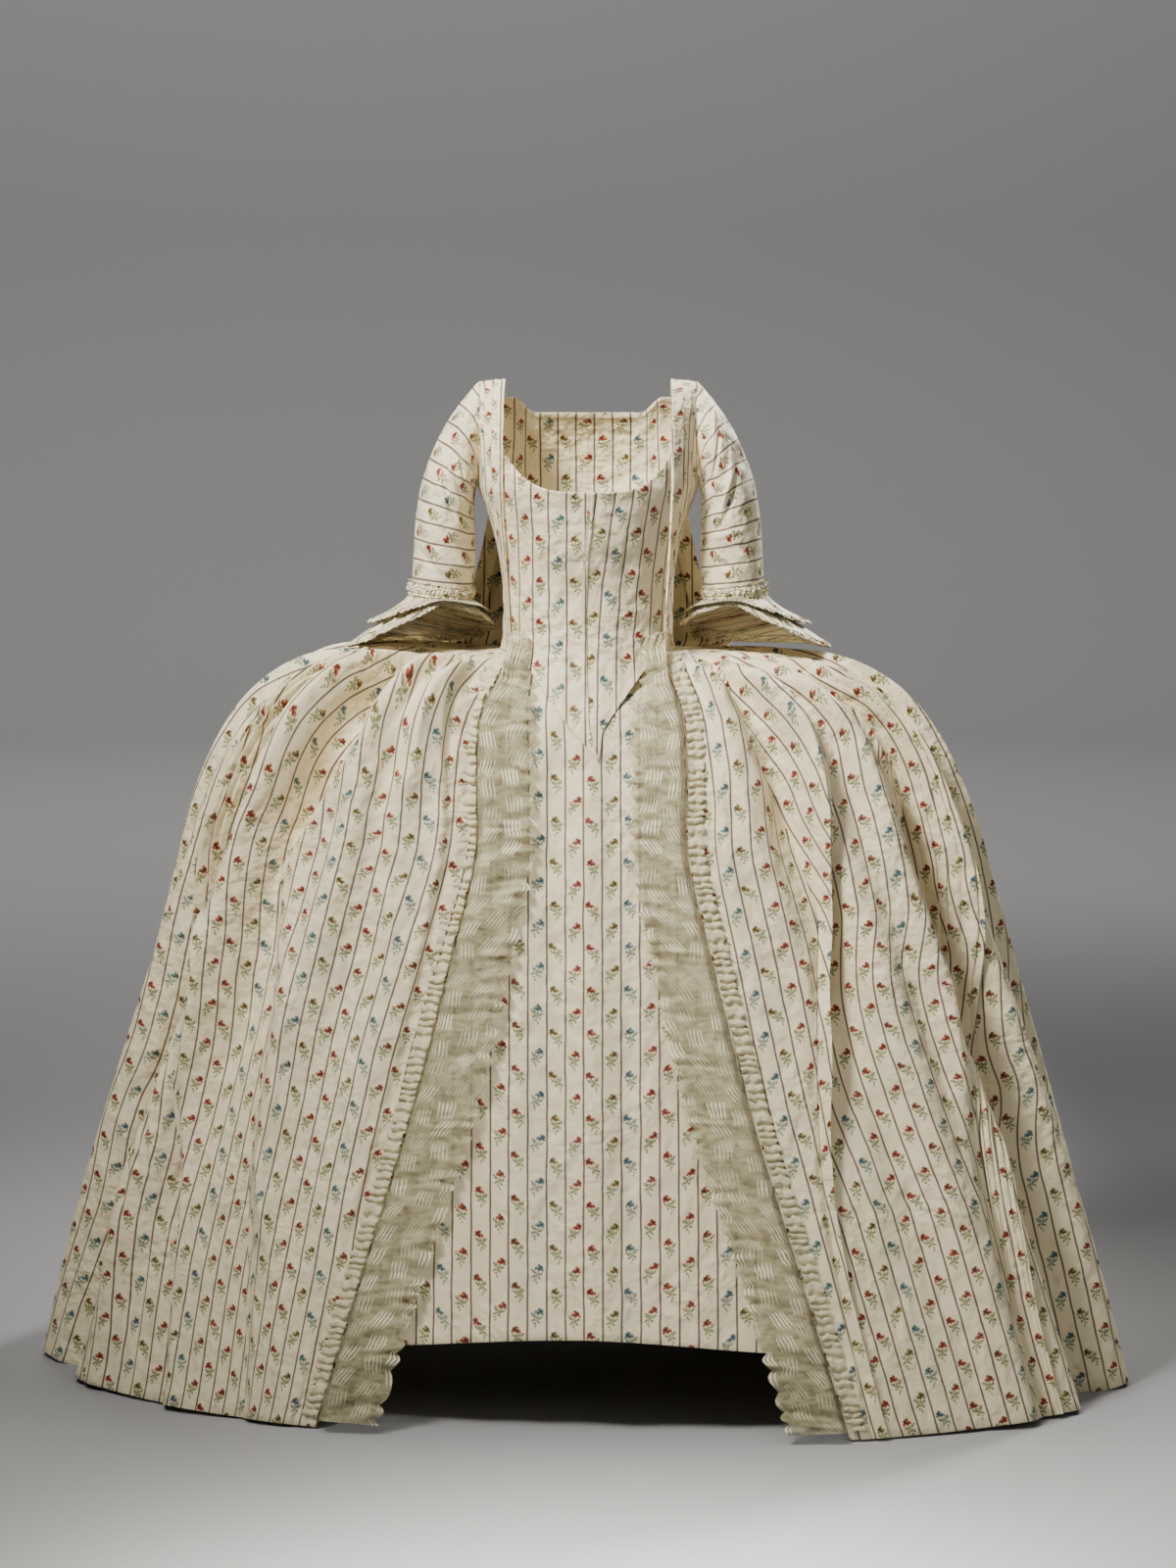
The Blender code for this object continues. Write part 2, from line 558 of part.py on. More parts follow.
def sack_point(across, run):
    """The sack back between its centre and its outer edge."""
    edge = sack_edge(run)
    centre_y = smooth(SACK["centre_y"], run)
    centre_height = smooth(SACK["centre_height"], run)
    curve = across ** SACK_ROUNDNESS
    y = centre_y + (edge[..., 1] - centre_y) * curve
    height = centre_height + (edge[..., 2] - centre_height) * curve
    return np.stack([edge[..., 0] * across, y, height], axis=-1)


def box_pleats(across, run):
    """Two stacked box pleats a side, opening into soft folds below the waist."""
    relief = np.zeros_like(across)
    for inner, outer, height in SACK_PLEATS:
        relief = relief + height * ease((across - inner) / 0.06) * ease((outer - across) / 0.07)
    return relief * (1 - 0.5 * ease((run - 2.5) / 5))


def sack_back(side, name):
    """Half of the sack back, from the neck to the hem."""
    columns = np.array([0, .03, .09, .18, .24, .40, .54, .61, .68, .79, .86, .93, 1.0])

    def surface(u, v):
        across = np.interp(u, np.linspace(0, 1, len(columns)), columns)
        across = 0.0012 + across * (1 - 0.0012)
        run = np.interp(v, [0, SACK_BODICE_ROWS / SACK_ROWS, 1], [0, SACK_WAIST, SACK_WAIST + LEVELS])
        point = sack_point(across, run)
        point[..., 1] += box_pleats(across, run)
        level = np.clip(run - SACK_WAIST, 0, LEVELS)
        return placed(point, side, level)
    sheet(name, len(columns) - 1, SACK_ROWS, surface, CLOTH, (0, 0.0))


def clear_scene():
    """Remove whatever the scene holds and make the part's collection."""
    for item in list(bpy.data.objects):
        bpy.data.objects.remove(item, do_unlink=True)
    bpy.context.scene.collection.children.link(bpy.data.collections.new(COLLECTION))


clear_scene()
make_materials()
for SIDE, WORD in ((-1, "left"), (1, "right")):
    bodice_front(SIDE, f"bodice_front_{WORD}")
    robing(SIDE, f"robing_{WORD}")
    bodice_side(SIDE, f"bodice_side_{WORD}")
    bodice_back(SIDE, f"bodice_back_{WORD}")
    sleeve(SIDE, f"sleeve_{WORD}")
    sleeve_band(SIDE, f"sleeve_band_{WORD}")
    cuff_flounce(SIDE, f"cuff_lower_{WORD}", 1.0, 0.0)
    cuff_flounce(SIDE, f"cuff_upper_{WORD}", CUFF_UPPER_SHARE, CUFF_UPPER_LIFT)
    gown_skirt(SIDE, f"gown_skirt_{WORD}", FOLDS_LEFT if SIDE < 0 else FOLDS_RIGHT)
    sack_back(SIDE, f"sack_back_{WORD}")
    gauze_flounce(SIDE, f"gauze_flounce_{WORD}")
    ribbon_ruche(SIDE, f"ribbon_ruche_{WORD}")
for NAME, FIRST, LAST, COLUMNS in PETTICOAT_WIDTHS:
    petticoat(NAME, FIRST, LAST, COLUMNS)
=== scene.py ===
"""A silk robe a la francaise: open gown, sack back and petticoat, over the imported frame."""
import math
from functools import partial

import bpy
import numpy as np
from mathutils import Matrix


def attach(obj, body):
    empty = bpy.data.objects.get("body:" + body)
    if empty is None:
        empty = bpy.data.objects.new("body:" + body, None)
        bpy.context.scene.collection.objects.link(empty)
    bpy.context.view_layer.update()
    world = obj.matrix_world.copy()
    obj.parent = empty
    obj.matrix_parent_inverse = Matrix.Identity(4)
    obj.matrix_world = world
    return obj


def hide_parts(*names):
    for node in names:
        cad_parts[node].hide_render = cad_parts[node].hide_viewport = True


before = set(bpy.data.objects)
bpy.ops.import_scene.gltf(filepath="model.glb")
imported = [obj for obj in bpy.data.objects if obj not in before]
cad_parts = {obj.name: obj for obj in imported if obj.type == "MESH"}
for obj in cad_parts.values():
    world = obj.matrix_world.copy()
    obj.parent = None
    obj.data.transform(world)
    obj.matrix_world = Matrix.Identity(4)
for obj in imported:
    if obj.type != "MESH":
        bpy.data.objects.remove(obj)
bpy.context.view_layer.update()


# ---------------------------------------------------------------- studio
# Grey paper swept up all round the gown, with a painted pool of light on the ground in front of it and
# a painted shadow of the gown on the ground behind it on the right, and lit by softboxes, the main one
# high on the left. The camera stands at chest height, looking a little down.
def hex_colour(code):
    """An sRGB hex code as linear red, green, blue and alpha."""
    parts = [int(code[i:i + 2], 16) / 255 for i in (1, 3, 5)]
    linear = [c / 12.92 if c <= 0.04045 else ((c + 0.055) / 1.055) ** 2.4 for c in parts]
    return (*linear, 1.0)


def add_node(tree, kind, inputs=(), output=0, **settings):
    """Add a shader node with its settings and inputs, and give one of its outputs.

    Inputs come in order or by name or number, as values, hex codes or other nodes' outputs."""
    node = tree.nodes.new("ShaderNode" + kind)
    for name, setting in settings.items():
        setattr(node, name, setting)
    for socket, value in inputs.items() if isinstance(inputs, dict) else enumerate(inputs):
        if isinstance(value, bpy.types.NodeSocket):
            tree.links.new(value, node.inputs[socket])
        else:
            node.inputs[socket].default_value = hex_colour(value) if isinstance(value, str) else value
    return node.outputs[output] if node.outputs else None


def new_material(name):
    """A material without nodes, and the function that adds one to it."""
    material = bpy.data.materials.new(name)
    material.use_nodes = True
    material.node_tree.nodes.clear()
    return material, partial(add_node, material.node_tree)


FLOOR = -0.975            # height of the ground, with the waist at 0
PAPER_DROP = 0.0008       # the paper lies this far under the ground
MIDDLE, WALL, BEND, TOP = 4.0, 10.4, 1.8, 9.0     # the paper's radii and height
CORNERS = 96              # round the paper

# Matte paper: no shine. Its grey is painted lighter on the ground in front, as painted light, and
# darker on the ground behind the gown on the right, as the gown's painted shadow.
paper, add = new_material("sweep_paper_grey_matte_painted_light_and_shadow")
across, back, _ = add("SeparateXYZ", (add("TexCoord", output="Object"),)).node.outputs
# Painted light: the ground is painted lighter in front of the gown, where the lamps fall on it.
near = add("MapRange", (back, 0.0, -1.15), interpolation_type="SMOOTHSTEP")
colour = add("Mix", {0: near, 6: "#8a8a8b", 7: "#f8f8f7"}, 2, data_type="RGBA")
# Painted shadow: a darker patch of the ground behind the gown on the right, where its shadow falls.
painted_shadow = 0.8
for axis, clear, full in ((across, 0.45, 0.95), (across, 3.4, 2.2), (back, 5.0, 1.9), (back, 0.1, 1.3)):
    step = add("MapRange", (axis, clear, full), interpolation_type="SMOOTHSTEP")
    painted_shadow = add("Math", (painted_shadow, step), operation="MULTIPLY")
colour = add("Mix", {0: painted_shadow, 6: colour, 7: "#48484a"}, 2, data_type="RGBA")
add("OutputMaterial", (add("BsdfPrincipled", {"Base Color": colour, "Roughness": 0.85,
                                              "Specular IOR Level": 0.15}),))

profile = [(MIDDLE, 0.0)] + [(WALL - BEND + BEND * math.sin(math.radians(t)),
                              BEND - BEND * math.cos(math.radians(t))) for t in range(0, 96, 6)]
profile.append((WALL, TOP))
turns = [2 * math.pi * i / CORNERS for i in range(CORNERS)]
verts = [(r * math.cos(t), r * math.sin(t), FLOOR - PAPER_DROP + z) for r, z in profile for t in turns]
faces = [tuple(range(CORNERS))]
for start in range(0, len(verts) - CORNERS, CORNERS):
    for i in range(CORNERS):
        beside = (i + 1) % CORNERS
        faces.append((start + i, start + CORNERS + i, start + CORNERS + beside, start + beside))
mesh = bpy.data.meshes.new("studio_sweep")
mesh.from_pydata(verts, [], faces)
mesh.shade_smooth()
mesh.materials.append(paper)
sweep = bpy.data.objects.new("studio_sweep", mesh)
bpy.context.scene.collection.objects.link(sweep)

world = bpy.data.worlds.new("studio")
world.use_nodes = True
world.node_tree.nodes["Background"].inputs["Color"].default_value = hex_colour("#d6d8dc")
world.node_tree.nodes["Background"].inputs["Strength"].default_value = 0.10
bpy.context.scene.world = world

SOFTBOXES = [
    # name, place, aimed at, width, watts, spread in degrees
    ("softbox_left", (-1.35, -1.65, 2.35), (-0.16, -0.15, 0.62), 0.7, 25.5, 58),
    ("softbox_top", (0.3, -0.9, 3.1), (0.0, -0.2, -0.1), 1.4, 16.5, 180),
    ("softbox_right", (3.2, -2.6, 0.8), (0.0, 0.0, -0.2), 2.0, 10, 180),
    ("softbox_wall", (-0.8, 5.0, 5.4), (-0.1, 8.6, -0.6), 3.6, 500, 180),
    ("softbox_back", (2.3, 3.1, 2.5), (-0.05, 0.30, 0.3), 0.8, 24, 48),
    ("softbox_floor", (0.0, -1.9, 2.6), (0.0, -1.2, -0.97), 0.5, 4.8, 24),
]
for name, place, aim, width, watts, spread in SOFTBOXES:
    lamp = bpy.data.lights.new(name, "AREA")
    lamp.shape = "SQUARE"
    lamp.size = width
    lamp.energy = watts
    lamp.spread = math.radians(spread)
    lamp.color = hex_colour("#fffdf9")[:3]
    holder = bpy.data.objects.new(name, lamp)
    bpy.context.scene.collection.objects.link(holder)
    holder.location = place
    away = np.array(place) - np.array(aim)
    holder.rotation_euler = (math.atan2(math.hypot(away[0], away[1]), away[2]),
                             0.0, math.atan2(away[0], -away[1]))

lens = bpy.data.cameras.new("camera")
lens.lens = 92.6
lens.sensor_width = 36
lens.clip_end = 40
camera = bpy.data.objects.new("camera", lens)
bpy.context.scene.collection.objects.link(camera)
camera.location = (0.0, -5.35, 0.42)
camera.rotation_euler = (math.radians(90 - 6.42), 0.0, 0.0)
bpy.context.scene.camera = camera


# ---------------------------------------------------------------- striped silk
# Crisp ivory taffeta, woven with a thin taupe stripe every 24.5 mm and, in the lanes between, with
# small flower sprays, one each 55 mm, set half a step on in every other lane.
STRIPE = 0.0245
SPRAY_STEP = 0.055
LANES = ("blue", "olive", "red", "red", "olive", "blue", "red", "red", "red", "brown")
DYES = {
    # petals, their dark heart, leaves
    "red": ("#9e4128", "#4d2117", "#656b3f"),
    "blue": ("#637d79", "#38494b", "#617a65"),
    "olive": ("#8d7a3e", "#43351f", "#6b7740"),
    "brown": ("#8f4c30", "#46281b", "#69743f"),
}
SPRAY = [
    # part, centre across and up, half width and half height in mm, turn in degrees
    ("petal", 2.6, 7.6, 4.2, 3.8, 15),
    ("petal", -2.2, 6.6, 2.8, 2.4, 35),
    ("petal", 6.1, 5.2, 2.1, 1.7, -35),
    ("petal", 0.7, 10.9, 2.5, 1.9, 10),
    ("heart", 3.5, 8.1, 2.7, 2.2, 15),
    ("heart", 0.2, 5.7, 1.9, 1.4, 0),
    ("heart", 1.4, 10.5, 1.2, 0.9, 0),
    ("leaf", 0.0, -0.5, 1.3, 6.1, -12),
    ("leaf", -4.5, 1.8, 3.9, 2.2, -28),
    ("leaf", -7.3, 4.2, 2.0, 1.3, -10),
    ("leaf", 4.0, 0.0, 3.9, 2.0, 34),
    ("leaf", -4.2, -3.8, 3.5, 1.8, 42),
    ("leaf", 2.6, -5.2, 3.1, 1.5, -38),
    ("leaf", -1.9, -8.0, 2.0, 1.4, 20),
    ("leaf", 0.4, -11.3, 1.1, 2.4, 14),
]
STRIPE_HALF = (0.00090, 0.00165)   # full and gone: the real stripe is 1 mm, drawn wider to show


def cloth_material(name, noises):
    """A material, the function that adds a node to it, its two cloth coordinates and its noises.

    The coordinates are metres over the flat cloth, across its stripes and down along them. Each
    noise has its waves to the metre, its detail and, if it isn't even, its squeeze both ways."""
    material, add = new_material(name)
    uv = add("UVMap", uv_map="cloth")
    made = {}
    for word, (waves, detail, *squeeze) in noises.items():
        place = add("Mapping", {"Vector": uv, "Scale": (*squeeze, 1)}) if squeeze else uv
        made[word] = add("TexNoise", {"Vector": place, "Scale": waves, "Detail": detail}, "Fac",
                         noise_dimensions="2D")
    across, down, _ = add("SeparateXYZ", (uv,)).node.outputs
    return material, add, across, down, made


def cells(add, across, down, width, length):
    """Lanes of cells along the cloth, each odd lane's set half a cell on.

    Gives the place in lanes, the lane's number, whether it is odd, the place in cells along it,
    the cell's number and the cell's own chance."""
    lanes = add("Math", (across, width), operation="DIVIDE")
    lane = add("Math", (lanes,), operation="FLOOR")
    odd = add("Math", (lane, 2.0), operation="FLOORED_MODULO")
    steps = add("Math", (down, length), operation="DIVIDE")
    steps = add("Math", (odd, 0.5, steps), operation="MULTIPLY_ADD")
    row = add("Math", (steps,), operation="FLOOR")
    chance = add("TexWhiteNoise", (add("CombineXYZ", (lane, row)),)).node.outputs
    return lanes, lane, odd, steps, row, chance


# Taffeta: a firm, close weave, so the folds shine softly and the ground is crinkled all over. The
# sprays are floats of dyed silk, patchy at their edges, and the dyes vary from lane to lane.
SILK, add, across, down, noise = cloth_material("silk_taffeta_striped_ivory", {
    "sway": (22.0, 2.0), "edge": (520.0, 2.0), "edge_up": (430.0, 2.0, 1.3, 0.8),
    "fade": (420.0, 2.0), "mottle": (26.0, 4.0, 1.0, 2.2), "patches": (9.0, 1.0),
    "crinkle": (60.0, 3.0, 0.9, 1.1), "dimples": (22.0, 2.0, 1.25, 0.8)})
sway = add("Math", (noise["sway"], 0.0024, -0.0012), operation="MULTIPLY_ADD")
across = add("Math", (across, sway), operation="ADD")

# The place in a spray's cell, in mm from its middle.
lanes, lane, odd, steps, row, chance = cells(add, across, down, STRIPE, SPRAY_STEP)
middle = add("Math", (lane, 0.5), operation="ADD")
x = add("Math", (lanes, middle), operation="SUBTRACT")
x = add("Math", (x, STRIPE * 1000), operation="MULTIPLY")
middle = add("Math", (row, 0.5), operation="ADD")
y = add("Math", (middle, steps), operation="SUBTRACT")
y = add("Math", (y, SPRAY_STEP * 1000), operation="MULTIPLY")

# Every other lane's sprays face the other way, and each leans a little by chance.
facing = add("Math", (odd, -2.0, 1.0), operation="MULTIPLY_ADD")
x = add("Math", (x, facing), operation="MULTIPLY")
lean = add("Math", (chance["Value"], 0.5, -0.05), operation="MULTIPLY_ADD")
lean = add("Math", (lean, -1.0), operation="MULTIPLY")
blur = add("Math", (noise["edge"], 2.6, -1.3), operation="MULTIPLY_ADD")
slip = add("Math", (y, lean, blur), operation="MULTIPLY_ADD")
x = add("Math", (x, slip), operation="ADD")
blur = add("Math", (noise["edge_up"], 2.6, -1.3), operation="MULTIPLY_ADD")
y = add("Math", (y, blur), operation="ADD")
spot = add("CombineXYZ", (x, y))
cover = {}
for part, right, up, half_width, half_height, turn in SPRAY:
    inside = add("Mapping", {"Vector": spot, "Location": (right, up, 0),
                             "Rotation": (0, 0, math.radians(turn)),
                             "Scale": (half_width, half_height, 1)}, vector_type="TEXTURE")
    away = add("VectorMath", (inside,), "Value", operation="LENGTH")
    oval = add("MapRange", (away, 0.72, 1.15, 1.0, 0.0), interpolation_type="SMOOTHSTEP")
    cover[part] = add("Math", (cover[part], oval), operation="MAXIMUM") if part in cover else oval

# Ground, stripes, and then the sprays' leaves, petals and hearts.
amount = add("Math", (noise["mottle"], 0.20), operation="MULTIPLY")
colour = add("Mix", {0: amount, 6: "#f2e4bf", 7: "#cdbf92"}, 2, data_type="RGBA")
amount = add("Math", (across, STRIPE / 2), operation="PINGPONG")
amount = add("MapRange", (amount, *STRIPE_HALF, 1.0, 0.0), interpolation_type="SMOOTHSTEP")
amount = add("Math", (amount, 0.95), operation="MULTIPLY")
colour = add("Mix", {0: amount, 6: colour, 7: "#645047"}, 2, data_type="RGBA")
turn = add("Math", (lane, float(len(LANES))), operation="FLOORED_MODULO")
turn = add("Math", (turn, 1 / len(LANES), 0.5 / len(LANES)), operation="MULTIPLY_ADD")
faded = add("Math", (noise["fade"], 1.3, 0.38), operation="MULTIPLY_ADD")
for part, which, strength in (("leaf", 2, 0.80), ("petal", 0, 0.98), ("heart", 1, 1.0)):
    dye = add("ValToRGB", (turn,))
    ramp = dye.node.color_ramp
    ramp.interpolation = "CONSTANT"
    for number, word in enumerate(LANES):
        stop = ramp.elements[number] if number < 2 else ramp.elements.new(number / len(LANES))
        stop.position = number / len(LANES)
        stop.color = hex_colour(DYES[word][which])
    amount = add("Math", (cover[part], faded), operation="MULTIPLY")
    amount = add("Math", (amount, strength), operation="MULTIPLY")
    amount = add("Math", (amount, 1.0), operation="MINIMUM")
    colour = add("Mix", {0: amount, 6: colour, 7: dye}, 2, data_type="RGBA")

crinkle = add("Math", (noise["patches"], 1.5), operation="POWER")
crinkle = add("Math", (noise["crinkle"], crinkle), operation="MULTIPLY")
dimples = add("Math", (noise["dimples"], 1.8), operation="MULTIPLY")
height = add("Math", (crinkle, 1.8, dimples), operation="MULTIPLY_ADD")
bump = add("Bump", {"Height": height, "Strength": 0.85, "Distance": 0.0060})
add("OutputMaterial", (add("BsdfPrincipled", {
    "Base Color": colour, "Normal": bump, "Roughness": 0.52, "Specular IOR Level": 0.32,
    "Sheen Weight": 0.12, "Sheen Roughness": 0.4}),))


def cloth(name, points, uv, material, joints=(), ring=False, mirrored=False):
    """A sheet from a grid of points, rows down and columns across, with cloth coordinates.

    A joint is a column repeated with other cloth coordinates, where a fold hides some cloth.
    A ring's last column is its first again. A mirrored grid's columns run right to left."""
    rows, columns = points.shape[:2]
    number = np.arange(columns)
    for joint in joints:
        number[joint:] -= 1
    kept = [0] + [c for c in range(1, columns) if number[c] != number[c - 1]]
    if ring:
        number[-1] = 0
        kept = kept[:-1]
    first = np.array([c for c in range(columns - 1) if c + 1 not in joints])
    row = np.arange(rows - 1)[:, None] * len(kept)
    below = row + len(kept)
    quads = np.stack([row + number[first], below + number[first],
                      below + number[first + 1], row + number[first + 1]], axis=-1)
    corners = np.stack([uv[:-1, first], uv[1:, first], uv[1:, first + 1], uv[:-1, first + 1]], axis=2)
    if mirrored:
        quads, corners = quads[..., ::-1], corners[:, :, ::-1]
    verts = points[:, kept].reshape(-1, 3)
    mesh = bpy.data.meshes.new(name)
    mesh.vertices.add(len(verts))
    mesh.vertices.foreach_set("co", verts.astype(np.float32).ravel())
    mesh.loops.add(quads.size)
    mesh.loops.foreach_set("vertex_index", quads.astype(np.int32).ravel())
    mesh.polygons.add(quads.size // 4)
    mesh.polygons.foreach_set("loop_start", np.arange(0, quads.size, 4, dtype=np.int32))
    layer = mesh.uv_layers.new(name="cloth")
    layer.data.foreach_set("uv", corners.reshape(-1).astype(np.float32))
    mesh.update(calc_edges=True)
    mesh.validate()
    mesh.shade_smooth()
    mesh.materials.append(material)
    piece = bpy.data.objects.new(name, mesh)
    bpy.context.scene.collection.objects.link(piece)
    return piece


def worn(node, points, uv, flat, area, held, material=SILK, slot="silk", **grid):
    """Lay a sheet of cloth for a node and hide the node's part; its slot and flat size are not used."""
    piece = cloth(node + "_silk", points, uv, material, **grid)
    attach(piece, "root")
    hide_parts(node)


# ---------------------------------------------------------------- petticoat
# The same silk in six widths, sewn into a round skirt over side hoops: smooth in front, easing
# into folds at the sides and back, with a narrow turned hem clear of the ground.
LEVELS = 9
WAIST = -FLOOR            # height of the waist over the ground
SKIRT = {                 # the gown's skirt by level, from the waist to the hem
    "half_width":   [0.1165, 0.205, 0.325, 0.404, 0.458, 0.503, 0.543, 0.602, 0.664, 0.723],
    "side_height":  [0.9745, 0.968, 0.950, 0.914, 0.855, 0.760, 0.625, 0.430, 0.220, 0.002],
    "front_height": [0.9745, 0.938, 0.905, 0.860, 0.800, 0.715, 0.590, 0.410, 0.215, 0.002],
    "front_depth":  [0.1045, 0.1225, 0.145, 0.165, 0.185, 0.213, 0.252, 0.306, 0.366, 0.430],
    "back_height":  [0.9745, 0.965, 0.945, 0.905, 0.845, 0.755, 0.620, 0.430, 0.220, 0.002],
    "back_depth":   [0.080, 0.130, 0.180, 0.215, 0.245, 0.280, 0.335, 0.405, 0.480, 0.555],
    "front_edge":   [0.098, 0.110, 0.127, 0.135, 0.136, 0.137, 0.167, 0.213, 0.273, 0.339],
    "gauze_width":  [0.010, 0.036, 0.062, 0.069, 0.070, 0.072, 0.078, 0.083, 0.079, 0.077],
    "back_angle":   [150.0, 144.0, 132.5, 136.0, 140.0, 143.0, 146.0, 149.0, 151.0, 152.0],
    "shift":        [0.0, -0.004, -0.008, -0.008, -0.008, -0.008, -0.008, -0.008, -0.008, -0.008],
}
SWING = 0.09              # how far the hem swings forward on the right, for its half width
BACKSET = 0.030           # how far back the hem is centred behind the waist


def smooth(values, at):
    """A soft curve through evenly numbered rows."""
    rows = np.asarray(values, float)
    at = np.clip(np.asarray(at, float), 0.0, len(rows) - 1.0)
    low = np.minimum(at.astype(int), len(rows) - 2)
    t = at - low
    before = np.where(low > 0, rows[np.maximum(low - 1, 0)], 2 * rows[low] - rows[low + 1])
    last = np.minimum(low + 2, len(rows) - 1)
    after = np.where(low + 2 < len(rows), rows[last], 2 * rows[low + 1] - rows[low])
    here, there = rows[low], rows[low + 1]
    slope_here, slope_there = (there - before) / 2, (after - here) / 2
    return (here * (2 * t**3 - 3 * t**2 + 1) + there * (3 * t**2 - 2 * t**3)
            + slope_here * (t**3 - 2 * t**2 + t) + slope_there * (t**3 - t**2))


def ease(value):
    """A soft step from 0 to 1."""
    value = np.clip(value, 0.0, 1.0)
    return value * value * (3 - 2 * value)


def skirt_ring(angle, level):
    """The smooth skirt: degrees round from the front, and level from the waist to the hem."""
    radians = np.radians(angle)
    front = angle < 90
    share = np.sin(radians) ** 2
    side = smooth(SKIRT["side_height"], level)
    end = np.where(front, smooth(SKIRT["front_height"], level), smooth(SKIRT["back_height"], level))
    depth = np.where(front, smooth(SKIRT["front_depth"], level), smooth(SKIRT["back_depth"], level))
    x = smooth(SKIRT["half_width"], level) * np.sin(radians)
    y = BACKSET * np.asarray(level) / LEVELS - depth * np.cos(radians)
    return np.stack([x, y, end + (side - end) * share], axis=-1)


def moved_out(surface, a, b, distance, step=(0.2, 0.02)):
    """Points of a surface moved along its outward normal."""
    point = surface(a, b)
    along_a = surface(a + step[0], b) - surface(a - step[0], b)
    along_b = surface(a, b + step[1]) - surface(a, b - step[1])
    normal = np.cross(along_a, along_b)
    normal /= np.maximum(np.linalg.norm(normal, axis=-1, keepdims=True), 1e-12)
    return point - normal * np.asarray(distance)[..., None]


def placed(points, side, level=None):
    """One side's points put on the left or right, with the skirt's small shift and swing."""
    points = points.copy()
    points[..., 0] *= side
    if level is not None:
        points[..., 1] -= SWING * np.asarray(level) / LEVELS * points[..., 0]
        points[..., 0] += smooth(SKIRT["shift"], level)
    points[..., 2] -= WAIST
    return points


def arc(points, axis):
    """Length along a grid's rows (axis 1) or columns (axis 0), from its first line."""
    steps = np.linalg.norm(np.diff(points, axis=axis), axis=-1)
    return np.insert(np.cumsum(steps, axis=axis), 0, 0.0, axis=axis)


def hump(t, power=1.0):
    """A round hump over -1 to 1, narrower and sharper with power."""
    return ((np.cos(np.clip(np.abs(t), 0, 1) * math.pi) + 1) / 2) ** power


def hemmed(points, uv, depth=0.016, core=(0.0, 0.03), fold=0.0011):
    """The grid with its last row turned in, towards an upright line, and back up as a hem."""
    edge, before = points[-1], points[-2]
    up = before - edge
    up /= np.linalg.norm(up, axis=-1, keepdims=True)
    inward = (*core, 0.0) - edge * (1, 1, 0)
    inward -= up * np.sum(inward * up, axis=-1, keepdims=True)
    inward /= np.maximum(np.linalg.norm(inward, axis=-1, keepdims=True), 1e-9)
    rows = [edge + inward * fold * 0.5 - up * fold * 0.4, edge + inward * fold,
            edge + inward * fold + up * depth]
    steps = [0.001, 0.002, 0.002 + depth]
    more = [uv[-1] + np.array([0.0, step]) for step in steps]
    return np.concatenate([points, np.stack(rows)]), np.concatenate([uv, np.stack(more)])


PETTICOAT_GAP = (0.0098, 0.055)   # inside the gown's skirt, in front and more at the side
PETTICOAT_TOP, PETTICOAT_HEM = 0.06, 8.42   # levels
SEAM = 0.02               # degrees between two widths and their seam
PETTICOAT_WIDTHS = [
    # node, first and last degree, columns, cut size and area
    ("petticoat_front", -38, 38, 170, (0.88, 0.96), 0.80),
    ("petticoat_front_side_right", 38, 90, 60, (0.40, 1.06), 0.30),
    ("petticoat_back_side_right", 90, 142, 50, (0.48, 1.10), 0.38),
    ("petticoat_back", 142, 218, 60, (0.89, 1.12), 0.80),
    ("petticoat_back_side_left", 218, 270, 50, (0.48, 1.10), 0.38),
    ("petticoat_front_side_left", 270, 322, 60, (0.40, 1.06), 0.30),
]
PETTICOAT_FOLDS = [
    # degrees at the waist and at the hem, width in degrees, rise
    (-25, -20, 6, 0.0022), (-12, -13.5, 4, 0.0026), (-4, -6.5, 4, -0.0020), (5, 1.5, 4.5, 0.0022),
    (14, 10, 4, -0.0022), (24, 17.5, 5, 0.0026), (34, 27, 5, -0.0030), (-36, -29, 5, -0.0026),
    (45, 40, 6, 0.005), (57, 53, 6, -0.005), (69, 66, 7, 0.006), (82, 80, 7, -0.005),
    (-47, -42, 6, 0.005), (-59, -55, 6, -0.005), (-71, -68, 7, 0.006), (-84, -81, 7, -0.005),
    (97, 95, 7, 0.006), (112, 110, 8, -0.006), (127, 124, 8, 0.007), (143, 141, 8, -0.006),
    (158, 157, 8, 0.007), (172, 173, 8, -0.006), (188, 188, 8, 0.007), (203, 204, 8, -0.006),
    (219, 218, 8, 0.007), (234, 232, 8, -0.006), (249, 247, 8, 0.006), (264, 263, 7, -0.005),
]


def petticoat_point(turned, level, relief):
    """The petticoat, just inside the gown's skirt; degrees run right round from the front."""
    turned = np.mod(turned, 360)
    side = np.where(turned < 180, 1.0, -1.0)
    angle = np.where(side > 0, turned, 360 - turned)
    gap = PETTICOAT_GAP[0] + PETTICOAT_GAP[1] * np.sin(np.radians(angle)) ** 2
    gap = gap * np.clip(0.55 + level / 3, 0.0, 1.0)
    point = moved_out(skirt_ring, angle, level, relief - gap)
    point[..., 0] *= side
    return placed(point, 1, level)


